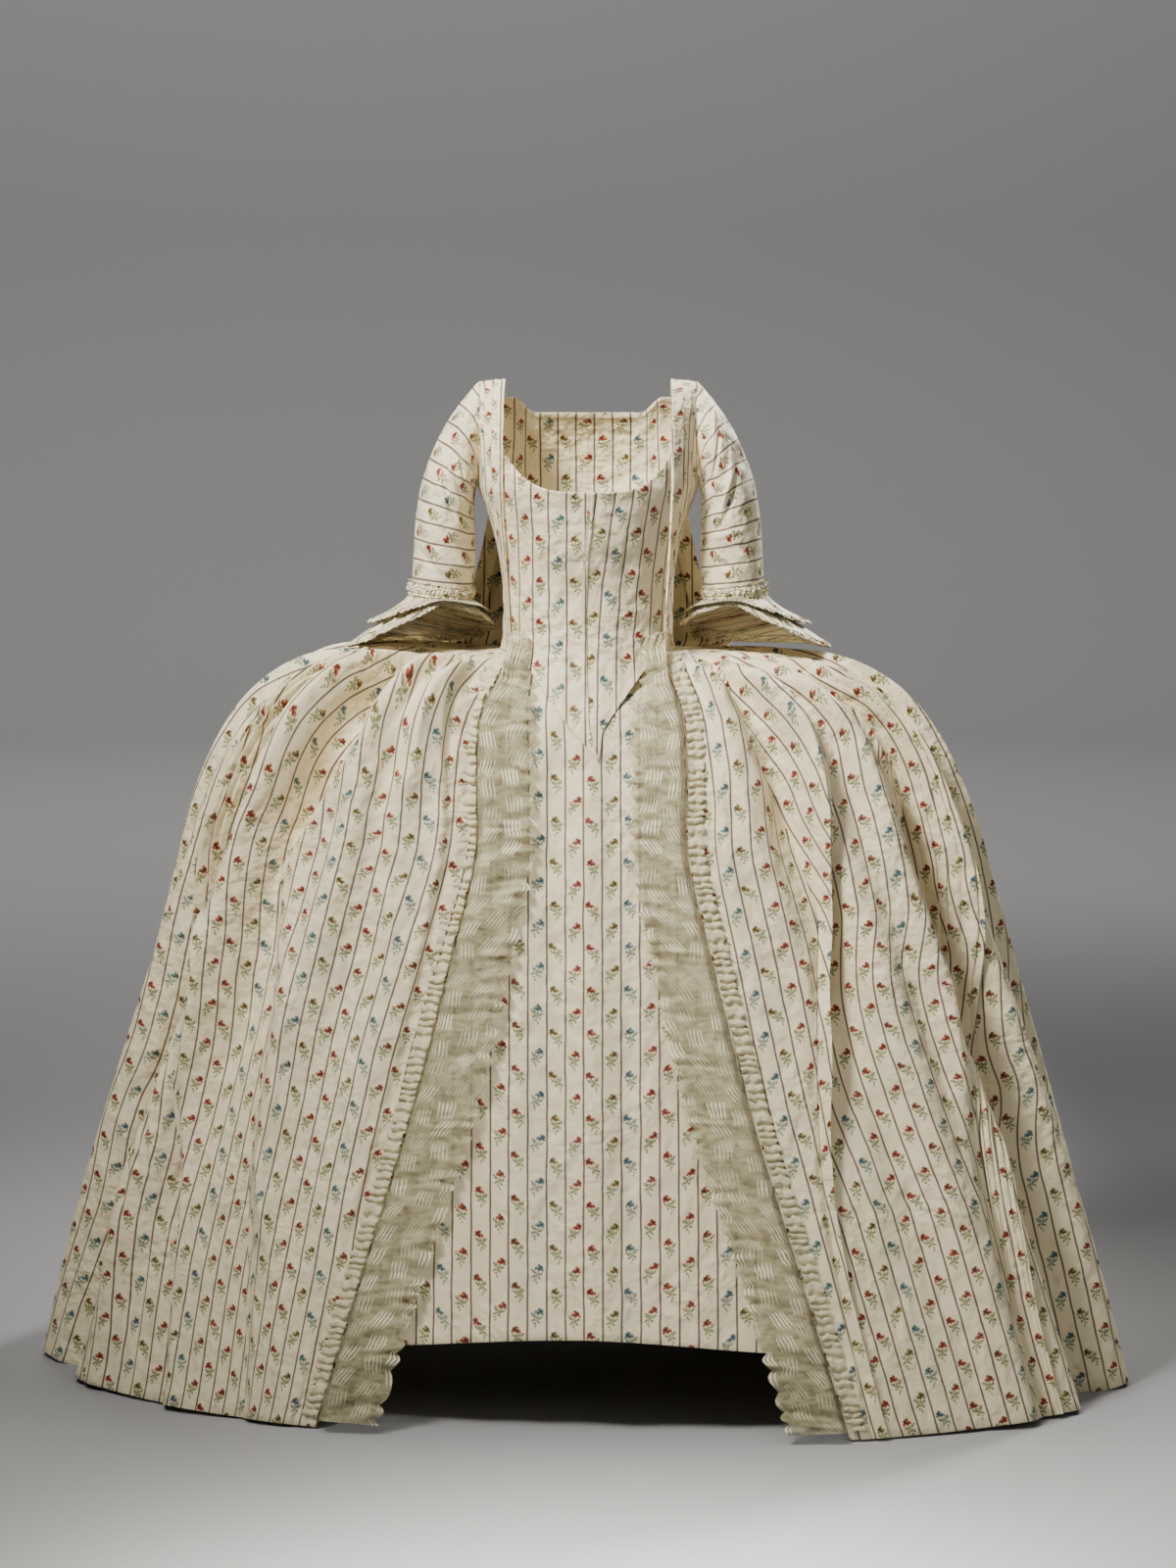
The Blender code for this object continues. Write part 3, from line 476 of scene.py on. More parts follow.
for NODE, first, last, columns, flat, area in PETTICOAT_WIDTHS:
    turned = np.linspace(first + SEAM, last - SEAM, columns)[None, :]
    hem = PETTICOAT_HEM + 0.10 * np.sin(np.radians(turned * 3)) ** 2
    level = PETTICOAT_TOP + (hem - PETTICOAT_TOP) * np.linspace(0, 1, 150)[:, None]
    turned = turned + 0 * level
    radians = np.radians(turned)
    relief = np.zeros_like(level)
    for top, low, width, rise in PETTICOAT_FOLDS:
        away = np.mod(turned - top - (low - top) * level / LEVELS + 180, 360) - 180
        relief += 1.5 * rise * hump(away / width) * ease((level - 1.0) / 4)
    sway = np.sin(radians * 7 + 1) + 0.5 * np.sin(radians * 3 + level * 0.4)
    relief += 0.0030 * np.sin(radians * 46 * (1 - 0.02 * level) + sway) * ease((level - 0.8) / 3)
    points = petticoat_point(turned, level, relief)
    across = arc(points, 1)
    across -= across[:, columns // 2, None]
    uv = np.stack([across + 3 * STRIPE, arc(points, 0) - 0.008], axis=-1)
    worn(NODE, *hemmed(points, uv), flat, area, "hung")


# ---------------------------------------------------------------- gown skirt
# Two wide sheets of the silk, pleated into the waist at the back of the hip, fall over the hoops
# in a few broad faces with crushed pleats between them. A face's stripes run parallel and vanish
# into the fold at its edge.
SIDES = ((-1, "left"), (1, "right"))
DEPTH = {-1: 1.95, 1: 1.25}        # the left folds stand deeper than the right
EDGE_FOLD = {-1: 0.015, 1: 0.008}  # rise of the fold beside the ribbon
BACK_SEAM = 0.15          # degrees between the sheet and its seam with the sack back
TUCK = 0.0007             # how far a face's first column tucks under the fold before it

# Places run across a sheet from its front edge (0) to the sack back (1), and a broad fold's half
# width is such a share too. Rises and the creases' half widths are metres.
BROAD_FOLDS = {
    # place at the waist and hem, half width, rise, level where it starts, is full, and fades
    -1: [(0.10, 0.085, 0.045, 0.009, 0.6, 2.0, 5.5), (0.18, 0.140, 0.050, 0.013, 1.0, 2.5, 7.0),
         (0.26, 0.230, 0.045, -0.008, 1.2, 2.7, 8.0), (0.33, 0.300, 0.050, 0.013, 1.2, 2.7, 9.5),
         (0.40, 0.370, 0.055, -0.026, 4.0, 9.5, 20), (0.41, 0.380, 0.035, -0.008, 1.5, 3.0, 7.0),
         (0.48, 0.460, 0.040, 0.008, 1.6, 3.1, 9.5), (0.56, 0.530, 0.040, -0.010, 1.8, 3.3, 20),
         (0.64, 0.620, 0.050, 0.012, 1.6, 3.1, 9.5), (0.70, 0.690, 0.030, -0.012, 1.6, 3.1, 20),
         (0.77, 0.760, 0.045, 0.016, 1.4, 2.9, 20), (0.84, 0.830, 0.030, -0.013, 1.6, 3.4, 20),
         (0.90, 0.905, 0.045, 0.016, 1.4, 2.9, 20)],
    1: [(0.10, 0.085, 0.045, 0.010, 0.6, 2.0, 6.5), (0.16, 0.125, 0.050, -0.012, 1.0, 2.5, 8.0),
        (0.22, 0.180, 0.050, 0.015, 1.2, 3.0, 9.5), (0.30, 0.260, 0.050, 0.014, 1.0, 3.0, 20),
        (0.37, 0.340, 0.075, -0.042, 4.0, 9.5, 20), (0.36, 0.330, 0.040, -0.010, 1.5, 3.0, 6.0),
        (0.42, 0.430, 0.045, 0.010, 1.6, 4.0, 9.5), (0.50, 0.500, 0.040, -0.010, 1.8, 3.3, 20),
        (0.58, 0.570, 0.045, 0.010, 1.6, 3.1, 9.5), (0.66, 0.650, 0.040, -0.010, 1.6, 3.1, 20),
        (0.74, 0.730, 0.045, 0.015, 1.4, 2.9, 20), (0.81, 0.800, 0.030, -0.013, 1.5, 3.2, 20),
        (0.89, 0.890, 0.050, 0.016, 1.4, 2.9, 20)],
}
# Faces from the front edge back: columns, crushed pleats in it, how far its back edge stands up,
# the level below which its cloth is whole with the face before, its back edge, and one of its
# stripes, both as (level, place) points.
BACK_FACES = [            # the last two, alike on both sides
    (46, 4, 0, 9, [(0, .7), (4, .69), (9, .68)], [(0, .65), (4, .63), (9, .62)]),
    (34, 0, 0, 9, [(0, 1), (9, 1)], [(0, .85), (4, .85), (9, .84)]),
]
FACES = {
    -1: [
        (70, 0, 0.014, 0, [(0, .3), (.92, .29), (2.14, .228), (3.46, .203), (4.12, .223), (4.7, .245),
          (5.04, .262), (5.34, .262), (5.8, .24), (6.3, .205), (7, .17), (7.6, .15), (8.2, .115),
          (9, .07)],
         [(0, .12), (1.5, .1), (3, .088), (4.5, .08), (5.9, .075), (6.7, .077), (7.4, .062), (8.1, .04),
          (9, .02)]),
        (60, 0, 0.024, 5.4, [(0, .42), (1, .39), (2, .37), (3, .365), (4, .38), (5.06, .386), (5.54, .38),
          (5.8, .372), (6.08, .343), (6.4, .308), (6.9, .295), (7.34, .272), (7.6, .247), (8.2, .21),
          (9, .165)],
         [(0, .36), (1, .34), (2, .3), (3, .3), (4, .31), (5, .3), (6.3, .238), (6.7, .212), (7.4, .19),
          (8.1, .18), (9, .15)]),
        (88, 7, 0.012, 9, [(0, .52), (1, .5), (2, .47), (4, .45), (5.4, .44), (6.2, .415), (7, .387),
          (7.76, .335), (8.5, .3), (9, .288)],
         [(0, .47), (2, .42), (4, .41), (5.4, .41), (6.2, .37), (7, .335), (7.76, .29), (8.5, .25),
          (9, .225)]),
        (50, 0, 0.012, 8.6, [(0, .6), (2, .58), (4, .57), (6, .565), (9, .56)],
         [(0, .52), (2, .47), (4, .44), (6.3, .424), (9, .424)]),
        *BACK_FACES,
    ],
    1: [
        (46, 0, 0.006, 0, [(0, .2), (1.34, .188), (1.9, .14), (2.9, .105), (3.7, .11), (4.26, .128),
          (4.76, .138), (5.16, .143), (5.52, .143), (5.8, .14), (6.1, .12), (6.5, .095), (7, .07),
          (7.6, .045), (8.3, .03), (9, .02)],
         [(0, .11), (1.5, .07), (3, .05), (4.5, .055), (6, .037), (7, .0245), (8, .0155), (9, .01)]),
        (52, 0, 0.014, 5.9, [(0, .27), (1.3, .255), (2.5, .235), (3.3, .22), (3.84, .208), (4.2, .198),
          (4.7, .19), (5.1, .177), (5.54, .163), (5.94, .147), (6.3, .122), (6.68, .102), (7.2, .072),
          (7.7, .052), (8.3, .04), (9, .035)],
         [(0, .14), (1, .115), (2.5, .13), (3.5, .163), (4.3, .182), (4.65, .19), (5.2, .213), (5.6, .228),
          (6, .232), (7, .206), (8, .186), (9, .17)]),
        (60, 0, 0.024, 7.7, [(0, .44), (1, .4), (1.9, .36), (2.6, .37), (3.1, .386), (3.9, .384),
          (4.5, .378), (5, .367), (5.5, .36), (6, .345), (6.5, .295), (6.94, .268), (7.34, .247),
          (7.72, .235), (8.12, .225), (8.5, .217), (9, .21)],
         [(0, .3), (1.5, .24), (3.5, .254), (4.6, .263), (5.3, .265), (5.8, .262), (6.3, .22), (7, .195),
          (7.7, .18), (8.4, .168), (9, .159)]),
        (84, 6, 0.012, 9, [(0, .52), (1, .5), (2, .47), (4, .45), (5.4, .44), (6.16, .412), (6.68, .378),
          (6.95, .35), (7.28, .3), (7.74, .268), (8.4, .247), (9, .24)],
         [(0, .48), (2, .42), (4, .41), (5.4, .4), (6.16, .38), (6.7, .335), (7.3, .273), (8.4, .233),
          (9, .225)]),
        (60, 0, 0.012, 8.8, [(0, .6), (2, .58), (4, .57), (6, .565), (9, .56)],
         [(0, .53), (4, .47), (5.4, .46), (6.2, .44), (7, .41), (8, .38), (9, .36)]),
        *BACK_FACES,
    ],
}
# Creases: where they run, as (level, place) points or a face's edge; shape; half width before and
# behind the line; rise; and the levels where they start, are full, begin to fade and are gone.
EDGE = 4                  # a face's back edge in its row
CREASES = {
    -1: [
        ("valley", FACES[-1][0][EDGE], .022, .06, -.011, (.5, 1.6, 4.6, 5.7)),
        ("ridge", [(1.2, .21), (2.44, .195), (3.36, .188), (4.12, .2), (4.72, .226), (5.2, .24),
          (5.44, .24), (5.78, .23), (6.1, .208), (6.4, .178), (7.1, .158), (7.5, .142), (7.8, .116),
          (8.2, .08), (9, .05)], .03, .026, .007, (.8, 2.2, 7.6, 9.3)),
        ("ridge", [(1.5, .13), (2.3, .095), (3.2, .088), (3.8, .08), (4.22, .095), (4.6, .11),
          (5.04, .105), (5.4, .095), (5.8, .07), (6.1, .058), (6.7, .055), (7.2, .05), (8, .035)],
         .028, .036, .006, (1.2, 2.5, 6.4, 8.4)),
        ("ridge", [(1.2, .17), (2.2, .14), (2.7, .125), (3.6, .135), (4.2, .145), (4.8, .15), (5.3, .15)],
         .02, .03, .004, (1, 2, 4.2, 5.4)),
        ("edge", [(1, .43), (2, .4), (3, .385), (4, .388), (5.06, .388), (5.54, .383), (5.8, .376),
          (6.08, .345), (6.4, .31), (6.9, .297), (7.34, .275), (7.7, .24)],
         .03, .022, .006, (2.6, 4.4, 7, 8.2)),
        ("soft", [(6, .14), (7, .105), (8, .085), (9, .06)], .035, .035, -.003, (5.6, 6.8, 8, 9.4)),
        ("soft", [(6.2, .25), (7, .225), (8, .19), (9, .16)], .045, .045, -.003, (5.4, 6.6, 8, 9.6)),
        ("soft", [(4, .3), (5, .33), (6, .29)], .03, .03, .0035, (3, 4.2, 5.2, 6.4)),
        ("soft", [(2, .045), (4, .035), (6, .02)], .022, .03, .004, (1, 2.4, 5, 6.6)),
    ],
    1: [
        ("valley", FACES[1][0][EDGE], .036, .03, -.008, (1, 2.2, 4.6, 5.8)),
        ("edge", [(3, .228), (3.84, .208), (4.2, .198), (4.7, .19), (5.1, .177), (5.54, .163),
          (5.94, .147), (6.3, .122), (6.68, .102), (7.2, .072), (7.7, .052)],
         .055, .06, .01, (3.2, 4.6, 6.6, 7.9)),
        ("valley", [(1.2, .37), (1.9, .36), (2.6, .37), (3.1, .386), (3.9, .384), (4.5, .378), (5, .367),
          (5.5, .36), (6, .345), (6.5, .295), (7, .265), (7.7, .235)], .05, .02, -.009, (1, 2.4, 5.6, 7.4)),
        ("ridge", [(1, .15), (2.2, .085), (3.2, .065), (4.4, .075), (5.4, .09)],
         .016, .016, .005, (.8, 1.8, 4.4, 5.6)),
        ("ridge", [(1.6, .1), (2.6, .05), (3.6, .04), (4.6, .048), (5.6, .045)],
         .014, .015, .004, (1, 2.2, 4.6, 6)),
        ("soft", [(6.2, .185), (7, .13), (7.5, .1)], .03, .045, .004, (5.6, 6.4, 7.2, 8.2)),
        ("soft", [(6.6, .27), (7.3, .235), (7.8, .215)], .03, .018, .004, (6.2, 7, 7.6, 8.4)),
        ("soft", [(5, .3), (6, .28), (7, .22), (9, .16)], .05, .05, -.003, (4.2, 5.6, 7.5, 9.6)),
        ("soft", [(2, .19), (3.5, .17), (4.6, .16)], .035, .035, .0035, (1.4, 2.6, 4.2, 5.4)),
    ],
}


def traced(points, level):
    """A line given by (level, place) points, rounded at its corners and read at each level."""
    fine = np.linspace(-1, LEVELS + 1, 441)
    line = np.interp(fine, [p[0] for p in points], [p[1] for p in points])
    window = np.hanning(23)
    soft = np.convolve(np.pad(line, 11, mode="edge"), window / window.sum(), mode="valid")
    return np.interp(level, fine, soft)


def front_angle(level, inward=0.0):
    """Degrees round to the gown's front edge, or to a line that far inside it."""
    edge = smooth(SKIRT["front_edge"], level) - inward
    return np.degrees(np.arcsin(edge / smooth(SKIRT["half_width"], level)))


def gown_point(side, across, level, lift=0.0):
    """A place across the gown's skirt at a level, lifted off its smooth form."""
    first, last = front_angle(level), smooth(SKIRT["back_angle"], level) - BACK_SEAM
    angle = first + across * (last - first)
    return placed(moved_out(skirt_ring, angle, level, lift), side, level)


def fold_shape(kind, t):
    """A fold's section over -1 (towards the front) to 1: round, sharp, or high before a drop."""
    near = 1 - np.clip(np.abs(t), 0, 1)
    if kind == "soft":
        return hump(t)
    if kind == "edge":
        return np.where(t <= 0, near ** 1.6, -0.9 * near ** 1.4)
    return near ** 1.35


def folds(side, across, level, reach):
    """Height of the broad folds and creases; reach is the sheet's width at each level in metres."""
    relief = np.zeros_like(across)
    for top, low, width, rise, start, full, fade in BROAD_FOLDS[side]:
        away = (across - top - (low - top) * level / LEVELS) / width
        grow = ease((level - 0.35 * start) / (0.8 * full - 0.35 * start))
        relief += rise * hump(away) * grow * ease((fade - level) / 2.5 + 0.4)
    for kind, line, before, behind, rise, (start, full, fading, gone) in CREASES[side]:
        away = (across - traced(line, level)) * reach
        away = away / np.where(away < 0, before, behind)
        grow = ease((level - start) / (full - start)) * ease((gone - level) / (gone - fading))
        relief += rise * fold_shape(kind, away) * grow
    return relief


def slope(share, level, rise):
    """A face's slope up to its back edge, where it rolls over."""
    stand = np.minimum(share / 0.86, 1) - 0.6 * ease((share - 0.86) / 0.14)
    return 0.85 * rise * stand * ease((level - 0.2) / 2.2) * (1 - 0.35 * ease((level - 6) / 3))


def edge_fold(level, away):
    """The fold that stands up beside the ribbon, by the distance from the front edge."""
    rise = ease((level - 0.4) / 1.4) * (1 - 0.75 * ease((level - 5.0) / 3.0))
    return rise * ease((away - 0.024) / 0.007) * (1 - ease((away - 0.031) / 0.055))


def pleating(share, level, count, seed):
    """Crushed pleats over a face: sharp, uneven, opening out towards the hem."""
    rng = np.random.default_rng(seed)
    phase = share * count + 0.16 * np.sin(2 * math.pi * share * 1.7 + level * 0.7 + seed)
    number = np.clip(phase.astype(int), 0, count)
    tall = rng.uniform(0.55, 1.0, count + 1)[number]
    wave = np.abs(np.sin(math.pi * phase)) ** 0.8 * tall
    depth = 0.0085 * ease((level - 0.5) / 2.5) * (1 - 0.72 * ease((level - 6.0) / 3.0))
    return wave * depth * hump((share - 0.5) * 1.15, 0.25)


for SIDE, WORD in SIDES:
    level = np.linspace(0.0, LEVELS, 176)[:, None]
    reach = arc(gown_point(SIDE, np.linspace(0, 1, 60)[None, :], level), 1)[:, -1:]
    places, lifts, joints, spans = [], [], [], []
    front, column = np.zeros_like(level), 0
    for number, (columns, pleats, rise, _, edge, _) in enumerate(FACES[SIDE]):
        back = traced(edge, level)
        share = np.linspace(0, 1, columns)
        share = (0.65 * share + 0.35 * (1 - np.cos(math.pi * share)) / 2)[None, :]
        place = front + share * (back - front)
        if number:
            place[:, 1:2] = np.minimum(front + TUCK, place[:, 2:3])
            joints.append(column)
        lift = DEPTH[SIDE] * (folds(SIDE, place, level, reach) + slope(share, level, rise))
        lift += EDGE_FOLD[SIDE] * edge_fold(level, place * reach)
        if number:
            lift[:, 0] = lifts[-1][:, -1]
        if pleats:
            lift += pleating(share + 0 * level, level, pleats, number + 10 * (SIDE + 1))
        places.append(place)
        lifts.append(lift)
        spans.append((column, column + columns))
        column += columns
        front = back
    across = np.concatenate(places, axis=1)
    points = gown_point(SIDE, across, level, np.concatenate(lifts, axis=1))

    # Along a face the cloth is measured from its traced stripe, square to the stripe's lean. The
    # fold between two faces hides some cloth down to the level where they are whole, and below it
    # what is missing or too much is shared out over both.
    uv = np.zeros((*across.shape, 2))
    for (first, last), (_, _, _, whole, _, line) in zip(spans, FACES[SIDE]):
        stripe = traced(line, level)
        near = gown_point(SIDE, stripe + np.array([[-0.02, 0.0, 0.02]]), level)
        down, sideways = np.gradient(near[:, 1], axis=0), near[:, 2] - near[:, 0]
        length = np.linalg.norm(down, axis=-1)
        lean = np.sum(down * sideways, axis=-1) / (length * np.linalg.norm(sideways, axis=-1))
        lean = np.convolve(np.pad(lean, 6, mode="edge"), np.ones(13) / 13, mode="valid")[:, None]
        away = arc(points[:, first:last], 1) + (across[:, first, None] - stripe) * reach
        uv[:, first:last, 0] = away * np.sqrt(1 - lean ** 2)
        uv[:, first:last, 1] = np.cumsum(length)[:, None] + away * lean
        if first:
            gap = uv[:, first] - uv[:, first - 1]
            meet = min(int(np.searchsorted(level[:, 0], whole)), len(level) - 1)
            uv[:, first:last] -= gap[meet]
            gap = (gap - gap[meet]) * (np.arange(len(level)) > meet)[:, None]
            ahead = np.linspace(0, 1, first - before)[None, :, None] ** 2
            after = np.linspace(1, 0, last - first)[None, :, None] ** 2
            uv[:, before:first] += gap[:, None] / 2 * ahead
            uv[:, first:last] -= gap[:, None] / 2 * after
        before = first
    worn(f"gown_skirt_{WORD}", *hemmed(points, uv), (1.30, 1.24), 1.35, "hung", joints=joints,
         mirrored=SIDE < 0)


# ---------------------------------------------------------------- bodice front
# Two halves of the silk, stitched over a firm linen lining. They lap at the centre, where hooks
# under the left half's folded edge close them, and run down to a long point.
CHEST = 1.190             # height of the armpit
SHOULDER_RISE = 0.137     # from there to the top of the shoulder
SHOULDER_TOP = CHEST + SHOULDER_RISE * math.pi / 2    # as a length up and over
SHOULDER_HALF = 0.153     # half width over the shoulders
BODICE = {
    "height":      [0.840, 0.870, 0.900, 0.930, 0.955, 0.975, 1.030, 1.080, 1.137, 1.190],
    "half_width":  [0.430, 0.360, 0.290, 0.200, 0.140, 0.1165, 0.1122, 0.1152, 0.127, 0.146],
    "front_depth": [0.1535, 0.1440, 0.1325, 0.1190, 0.1095, 0.1045, 0.1000, 0.107, 0.121, 0.131],
    "back_depth":  [0.080, 0.080, 0.080, 0.080, 0.080, 0.080, 0.079, 0.083, 0.092, 0.102],
}
STRAP_INNER = {"height": [0.975, 1.115, 1.190], "x": [0.0985, 0.1060, 0.1085]}
ARMHOLE_ANGLE = 68.0      # degrees round from the front to the armhole's middle
ARMHOLE_CORNER = 4.44     # how square the armhole is; 2 would be an ellipse
CORNER_TURN = 0.2146      # share up the armhole where its side becomes its bottom
CORNER_ANGLE = 72.7       # degrees round to there
SIDE_ANGLE = 79.0         # degrees round to the front's edge at the waist


def bodice_column(column, height):
    """One measure of the bodice at a height."""
    row = np.interp(height, BODICE["height"], np.arange(len(BODICE["height"])))
    return smooth(BODICE[column], row)


def bodice_width(lift):
    """Half the bodice's width at a length up from the ground, over the shoulder's turn."""
    turn = np.clip((lift - CHEST) / SHOULDER_RISE, 0.0, math.pi / 2)
    width = bodice_column("half_width", np.minimum(lift, CHEST))
    return width + (SHOULDER_HALF - width) * np.sin(turn) * (lift > CHEST)


def bodice(angle, lift):
    """A point of the bodice: degrees round from the front, and length up and over the shoulder."""
    turn = np.clip((lift - CHEST) / SHOULDER_RISE, 0.0, math.pi / 2)
    height = np.minimum(lift, CHEST)
    radians = np.radians(angle)
    depth = np.where(angle < 90, bodice_column("front_depth", height),
                     bodice_column("back_depth", height))
    return np.stack([bodice_width(lift) * np.sin(radians), -depth * np.cos(turn) * np.cos(radians),
                     height + SHOULDER_RISE * np.sin(turn)], axis=-1)


def angle_of_x(x, lift):
    """Degrees round the bodice where it is this far from the centre."""
    return np.degrees(np.arcsin(np.clip(x / bodice_width(lift), -1.0, 1.0)))


def armhole_edge(lift):
    """Degrees round to the bodice's edge at the arm."""
    up = np.clip((lift - CHEST) / (SHOULDER_TOP - CHEST), 0.0, 1.0)
    power = 2 / ARMHOLE_CORNER
    across = (1 - np.maximum(up, CORNER_TURN) ** power) ** (1 / power)
    above = ARMHOLE_ANGLE + (90 - ARMHOLE_ANGLE) * across
    below = np.interp(lift, [WAIST, CHEST], [SIDE_ANGLE, CORNER_ANGLE])
    return np.where(up > CORNER_TURN, above, below)


def armhole_lift(angle):
    """Length up to the armhole's bottom edge between its front and back corners."""
    across = (90 - np.abs(90 - angle) - ARMHOLE_ANGLE) / (90 - ARMHOLE_ANGLE)
    power = 2 / ARMHOLE_CORNER
    up = (1 - np.clip(across, CORNER_TURN, 1.0) ** power) ** (1 / power)
    return CHEST + (SHOULDER_TOP - CHEST) * up


def on_bodice(angle, lift, out, side):
    """A point a little outside the bodice, on one side."""
    angle, lift, out = np.broadcast_arrays(angle, lift, out)
    return placed(moved_out(bodice, angle, lift, out, (0.2, -0.003)), side)


def girth(angle, lift):
    """Distance over the bodice from the centre front, straight round at one height."""
    angle, lift = np.broadcast_arrays(angle, lift)
    steps = np.linspace(0, 1, 25)
    path = bodice(angle[..., None] * steps, lift[..., None] + 0 * steps)
    return np.linalg.norm(np.diff(path, axis=-2), axis=-1).sum(axis=-1) * np.sign(angle)


def turned_edge(points, uv, edge, depth=0.008, core=(0.0, 0.0), fold=0.0010):
    """The grid with its bottom, left or top edge turned in."""
    turns = ("bottom", "left", "top").index(edge)
    points, uv = hemmed(np.rot90(points, turns), np.rot90(uv, turns), depth, core, fold)
    return np.rot90(points, -turns), np.rot90(uv, -turns)


def wrinkles(x, y, lines):
    """Small creases: each runs between two points, with a half width and a rise in metres."""
    relief = np.zeros_like(x)
    for x0, y0, x1, y1, width, rise in lines:
        length = math.hypot(x1 - x0, y1 - y0)
        along = ((x - x0) * (x1 - x0) + (y - y0) * (y1 - y0)) / length ** 2
        away = ((x - x0) * (y1 - y0) - (y - y0) * (x1 - x0)) / length
        taper = hump(np.clip(2 * along - 1, -1, 1), 0.6)
        relief += 1.7 * rise * hump(away / (width * (0.5 + 0.5 * taper))) * taper
    return relief


FRONT_POINT = 0.839       # height of the front's point
CLOSING = {"lift": [FRONT_POINT, 0.88, 0.95, 1.03, 1.10, 1.135, 1.19],
           "x": [0.014, 0.002, -0.001, -0.002, 0.001, 0.005, 0.009]}
NECK_FRONT, NECK_RISE = 1.186, 0.050     # height of the front's top edge, and its rise at the robing
FRONT_CREASES = {
    # x and height at both ends, half width and rise
    -1: [(-.085, 1.02, -.02, 1.035, .010, .0010), (-.09, .995, -.012, 1.012, .009, -.0009),
         (-.075, .965, -.008, .975, .011, .0011), (-.09, 1.05, -.045, 1.07, .012, .0009),
         (-.055, .925, -.006, .945, .012, -.0010), (-.06, 1.10, -.015, 1.085, .012, .0008),
         (-.09, 1.12, -.05, 1.15, .014, -.0009), (-.03, 1.01, -.004, 1.06, .009, .0007)],
    1: [(.09, 1.02, .03, 1.04, .011, .0010), (.085, .99, .012, 1.015, .010, -.0009),
        (.07, .96, .01, .985, .011, .0010), (.095, 1.065, .05, 1.085, .012, .0009),
        (.05, .92, .012, .95, .012, -.0010), (.03, 1.06, .012, 1.13, .010, .0008),
        (.08, 1.13, .04, 1.10, .013, .0009)],
}
FIRST_STRIPE = {
    # lane of the repeat beside the closing, height where the cloth starts, and the distances from
    # the centre to that lane's first stripe at some heights
    -1: (4, 1.2005, [WAIST], [0.0035]),
    1: (5, 1.2105, [0.846, 0.978, 1.066, 1.193], [0.0114, 0.0129, 0.0188, 0.0369]),
}
for SIDE, WORD in SIDES:
    share = np.linspace(0, 1, 56)[None, :]
    low = FRONT_POINT + (WAIST - FRONT_POINT) * np.minimum(share / 0.94, 1) ** 0.9
    high = NECK_FRONT + NECK_RISE * share ** 4
    lift = low + (high - low) * np.linspace(1, 0, 110)[:, None]
    inner = np.interp(lift, CLOSING["lift"], CLOSING["x"]) * SIDE
    if SIDE > 0:
        inner = inner - 0.007 * ease((lift - 0.85) / 0.03)      # the right half runs on underneath
    outer = np.interp(lift, STRAP_INNER["height"], STRAP_INNER["x"]) - 0.0003
    x = inner + share * (outer - inner)
    angle = angle_of_x(x, lift)
    out = 0.0002 + wrinkles(SIDE * x, lift, FRONT_CREASES[SIDE])
    if SIDE < 0:                                                # the left half's folded edge
        out = out + 0.0016 * ease(1 - (x - inner) / 0.016) + 0.0006 * hump((x - inner - 0.002) / 0.003)
    points = on_bodice(angle, lift, out, SIDE)
    lane, start, heights, distances = FIRST_STRIPE[SIDE]
    across = girth(angle, lift) - np.interp(lift, heights, distances) + lane * STRIPE
    uv = np.stack([across, start - lift], axis=-1)
    for edge in ("top", "bottom", "left")[:3 if SIDE < 0 else 2]:
        points, uv = turned_edge(points, uv, edge)
    worn(f"bodice_front_{WORD}", points, uv, (0.145, 0.42), 0.042, "stretched", mirrored=SIDE < 0)


# ---------------------------------------------------------------- robings
# A strip of the silk folded in two tucks down each side of the front, from the waist over the
# shoulder to the back neck, stitched over the front's raw edge.
ROBING_END = 1.330        # length up the back to its end
ROBING_TUCKS = [(0.37, 0.0010, 0.013), (0.73, 0.0008, 0.011)]   # place across, rise, cloth hidden
for SIDE, WORD in SIDES:
    length = (SHOULDER_TOP - WAIST) * 2 - (ROBING_END - WAIST)
    run = length * np.linspace(1, 0, 130)[:, None]
    over = WAIST + run > SHOULDER_TOP
    lift = np.where(over, 2 * SHOULDER_TOP - WAIST - run, WAIST + run)
    inner = angle_of_x(np.interp(lift, STRAP_INNER["height"], STRAP_INNER["x"]), lift) + 0.5
    share = np.array([0, .04, .12, .2, .28, .36, .38, .40, .48, .56, .64, .72, .74, .76, .84, .92, 1])
    share = share[None, :]
    angle = inner + share * (armhole_edge(lift) - inner)
    angle = np.where(over, 180 - angle, angle)
    out = 0.0012 + 0.0005 * np.sin(run * 95 + share * 4) * np.sin(run * 23 + 1) * ease(run / 0.1)
    for place, rise, _ in ROBING_TUCKS:
        out = out + rise * (1 - ease((share - place) / 0.03))
    points = on_bodice(angle, lift, out, SIDE)
    across = arc(points, 1)
    for place, _, hidden in ROBING_TUCKS:
        across = across + hidden * (share > place)
    uv = np.stack([SIDE * across + 0.2, length - run + 0 * share], axis=-1)
    worn(f"robing_{WORD}", *turned_edge(points, uv, "left", 0.004, fold=0.0009), (0.07, 0.62), 0.0235,
         "stretched", mirrored=SIDE < 0)


